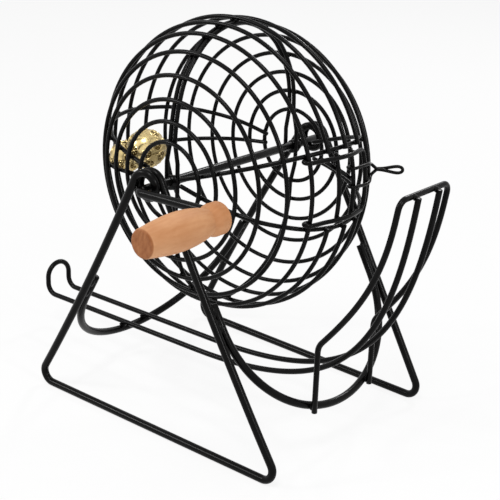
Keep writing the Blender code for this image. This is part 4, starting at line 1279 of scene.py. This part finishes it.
class BINGO_OT_grip(BingoStep, bpy.types.Operator):
    """The turned wooden grip"""
    bl_idname = "bingo.grip"
    bl_label = "Wooden grip"

    def execute(self, context):
        length = context.scene.bingo_sizes.grip_length
        spindle = crank()[-1]
        start = -grip_start()
        form = lathe(grip_profile(length), columns=72)
        grid = np.stack([form[..., 0] + spindle[0], form[..., 2] + start, spindle[2] - form[..., 1]], axis=-1)
        middle = (spindle[0], start - length / 2, spindle[2])
        finish = beech("turned beech", middle, start - length, start)
        put_piece("turned_grip", [solid_of(grid)], finish, "grip", ("wooden_grip",),
                  crease=50.0)
        return {"FINISHED"}


def hump(value, middle, width):
    """A bell curve: 1 at the middle, and 1 / e at a width from it."""
    return np.exp(-((value - middle) / width) ** 2)


def bell_relief(spoke, middle):
    """Height from 0 to 1 at each direction: plain but for a seam, with rings of rosettes round a middle.

    A rosette has a hollow with a soft edge, a round rim, a bead and petals, whose height follows a cosine of
    the angle round it, times the count of petals."""
    right = unit(np.cross(ALONG_Z, middle))
    above = np.cross(middle, right)
    seam_depth, seam_tilt, seam_width = SEAM
    height = PLAIN_HEIGHT - seam_depth * hump(np.arcsin(spoke[..., 2]), seam_tilt, seam_width)
    for tilt, count, first, size in BELL_ROSETTES:
        for turn in first + 2 * math.pi * np.arange(count) / count:
            sideways = right * math.cos(turn) + above * math.sin(turn)
            centre = middle * math.cos(tilt) + sideways * math.sin(tilt)
            side = unit(np.cross(centre, above))
            away = np.arccos(np.clip(spoke @ centre, -1.0, 1.0)) / size
            around = np.arctan2(spoke @ np.cross(centre, side), spoke @ side)
            hollow = 1 / (1 + np.exp((away - HOLLOW_EDGE_SHARES[0]) / HOLLOW_EDGE_SHARES[1]))
            petals = PETAL_HEIGHT * hump(away, *PETAL_SHARES) * (0.5 + 0.5 * np.cos(PETAL_COUNT * around))
            raised = np.maximum(hump(away, *RIM_SHARES), hump(away, *BEAD_SHARES))
            height = np.maximum(height * (1 - hollow) + HOLLOW_HEIGHT * hollow, np.maximum(raised, petals))
    return height


def bell_grid(centre, radius, middle, upward):
    """A hollow bell's places and tones: a ball with its relief outside, a rolled lip and a thin inner wall.

    The mouth is at the bottom, or at the top where upward is set. The tone is the relief's height, by which
    the brass is bright or tarnished."""
    depth, wall, mouth = BELL_RELIEF_DEPTH, BELL_WALL, math.asin(BELL_MOUTH / radius)
    lip_tone, inner_tone = 0.9, 0.35
    ball = radius - depth
    turn = np.linspace(0.0, 2 * math.pi, 240, endpoint=False)
    ring = np.stack([np.cos(turn), np.sin(turn), np.zeros(len(turn))], axis=1)
    tilt = np.linspace(0.0, math.pi - mouth, 170)[:, None, None]
    spoke = ring * np.sin(tilt) + ALONG_Z * np.cos(tilt)
    flip = np.array([1.0, -1.0, -1.0]) if upward else np.ones(3)
    height = bell_relief(spoke * flip, middle)
    outer = spoke * (ball + depth * height)[..., None]
    roll = np.linspace(0.0, math.pi, 9)[1:-1, None, None]
    out, down = math.sin(mouth), -math.cos(mouth)
    reach = ball - wall / 2 + (wall / 2) * np.cos(roll)
    push = (wall / 2) * np.sin(roll) * LIP_BULGE
    lip = ring * (reach * out + push * down) + ALONG_Z * (reach * down - push * out)
    tilt = np.linspace(math.pi - mouth, 0.0, 40)[:, None, None]
    inner = (ring * np.sin(tilt) + ALONG_Z * np.cos(tilt)) * (ball - wall)
    tone = [height, np.full(lip.shape[:2], lip_tone), np.full(inner.shape[:2], inner_tone)]
    return np.concatenate([outer, lip, inner]) * flip + centre, np.concatenate(tone)


class BINGO_OT_bells(BingoStep, bpy.types.Operator):
    """Two brass bells with a relief of rosettes"""
    bl_idname = "bingo.bells"
    bl_label = "Brass bells"

    def execute(self, context):
        sizes = context.scene.bingo_sizes
        finish = brass("old brass")
        radii = (sizes.bell_large, sizes.bell_small)
        for size, radius, middle, upward in zip(("large", "small"), radii, BELL_MIDDLES, (False, True)):
            node = "brass_bell_" + size
            low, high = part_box(node)
            grid, tone = bell_grid((np.array(low) + np.array(high)) / 2, radius, unit(middle), upward)
            # The first and the last row are poles, and solid_of keeps one place of each
            kept = np.ones(tone.shape, bool)
            kept[[0, -1], 1:] = False
            put_piece("bell_" + size, [solid_of(grid)], finish, "cage", (node,), crease=60.0,
                      relief=tone[kept])
        return {"FINISHED"}


class BINGO_OT_studio(BingoStep, bpy.types.Operator):
    """Plain pale floor, soft lamps, room light and the camera"""
    bl_idname = "bingo.studio"
    bl_label = "Studio"

    def execute(self, context):
        scene = context.scene
        studio = scene.bingo_studio
        colour = tuple(studio.floor_colour)
        corners = [(x * FLOOR_REACH, y * FLOOR_REACH, 0.0) for x, y in ((-1, -1), (1, -1), (1, 1), (-1, 1))]
        mesh = bpy.data.meshes.new("studio_floor")
        mesh.from_pydata(corners, [], [(0, 1, 2, 3)])
        floor = bpy.data.objects.new("studio_floor", mesh)
        scene.collection.objects.link(floor)
        paint = Finish(bpy.data.materials.new("studio_floor"))
        cloud = paint.noise(paint.place(), scale=3.0, detail=2.0)
        glow = paint.node("ShaderNodeEmission", None, {"Color": (1.0, 1.0, 1.0), "Strength": 1.0})
        matt = paint.dress(Base_Color=paint.blend(cloud, colour, tuple(value * 0.99 for value in colour)),
                           Roughness=0.9, Specular_IOR_Level=0.1)
        mixed = paint.node("ShaderNodeMixShader", None, {0: paint.backdrop_seen() * studio.floor_glow,
                                                         1: paint.shader.outputs[0], 2: glow.outputs[0]})
        paint.feed(paint.tree.nodes["Material Output"].inputs["Surface"], mixed.outputs[0])
        mesh.materials.append(matt)
        scene.world = bpy.data.worlds.new("studio_room")
        room = Finish(scene.world, "Background")
        room.dress(Color=(1.0, 1.0, 1.0, 1.0),
                   Strength=room.backdrop_seen() * (1.0 - studio.room_level) + studio.room_level)
        lamps = [("key_lamp", *KEY_LAMP, studio.key_power)]
        lamps += [(*lamp, studio.fill_power) for lamp in FILL_LAMPS]
        for name, place, width, power in lamps:
            lamp = bpy.data.lights.new(name, "AREA")
            lamp.shape = "DISK"
            lamp.size = width
            lamp.energy = power
            item = bpy.data.objects.new(name, lamp)
            scene.collection.objects.link(item)
            item.matrix_world = aimed(point(*place), point(*LAMP_AIM) - point(*place))
        camera = bpy.data.cameras.new("photo_camera")
        camera.sensor_width = CAMERA_SENSOR
        camera.lens = CAMERA_LENS
        camera.clip_start = CAMERA_CLIP_START
        item = bpy.data.objects.new("photo_camera", camera)
        scene.collection.objects.link(item)
        item.matrix_world = aimed(point(*CAMERA_PLACE), point(*CAMERA_HEADING), CAMERA_ROLL)
        scene.camera = item
        scene.view_settings.view_transform = "Standard"
        return {"FINISHED"}


def aimed(place, heading, roll=0.0):
    """A matrix at a place that looks along a heading, with its right side turned towards up by roll."""
    heading = unit(heading)
    right = unit(np.cross(heading, ALONG_Z))
    up = np.cross(right, heading)
    right, up = (right * math.cos(roll) + up * math.sin(roll), up * math.cos(roll) - right * math.sin(roll))
    matrix = Matrix.Identity(4)
    for row in range(3):
        matrix[row][0], matrix[row][1], matrix[row][2] = right[row], up[row], -heading[row]
        matrix[row][3] = place[row]
    return matrix


STEPS = (BINGO_OT_stand, BINGO_OT_cage, BINGO_OT_gate, BINGO_OT_latch, BINGO_OT_crank, BINGO_OT_grip,
         BINGO_OT_bells, BINGO_OT_studio)


class BINGO_PT_panel(bpy.types.Panel):
    """The steps of the build, in order, with the sizes and colours they use"""
    bl_idname = "BINGO_PT_panel"
    bl_label = "Bingo cage"
    bl_space_type = "VIEW_3D"
    bl_region_type = "UI"
    bl_category = "Bingo cage"

    def draw(self, context):
        for step in STEPS:
            self.layout.operator(step.bl_idname)
        for group in (context.scene.bingo_sizes, context.scene.bingo_finishes, context.scene.bingo_studio):
            box = self.layout.box()
            for name in group.bl_rna.properties.keys():
                if name not in ("rna_type", "name"):
                    box.prop(group, name)


CLASSES = (BINGO_PG_sizes, BINGO_PG_finishes, BINGO_PG_studio) + STEPS + (BINGO_PT_panel,)


def register():
    """Register the classes and hang their settings on the scene."""
    for item in CLASSES:
        bpy.utils.register_class(item)
    bpy.types.Scene.bingo_sizes = bpy.props.PointerProperty(type=BINGO_PG_sizes)
    bpy.types.Scene.bingo_finishes = bpy.props.PointerProperty(type=BINGO_PG_finishes)
    bpy.types.Scene.bingo_studio = bpy.props.PointerProperty(type=BINGO_PG_studio)


def unregister():
    """Take the settings and the classes away again."""
    del bpy.types.Scene.bingo_studio
    del bpy.types.Scene.bingo_finishes
    del bpy.types.Scene.bingo_sizes
    for item in reversed(CLASSES):
        bpy.utils.unregister_class(item)


def main():
    """Run every step in order."""
    register()
    bpy.ops.bingo.stand()
    bpy.ops.bingo.cage()
    bpy.ops.bingo.gate()
    bpy.ops.bingo.latch()
    bpy.ops.bingo.crank()
    bpy.ops.bingo.grip()
    bpy.ops.bingo.bells()
    bpy.ops.bingo.studio()


if __name__ == "__main__":
    main()
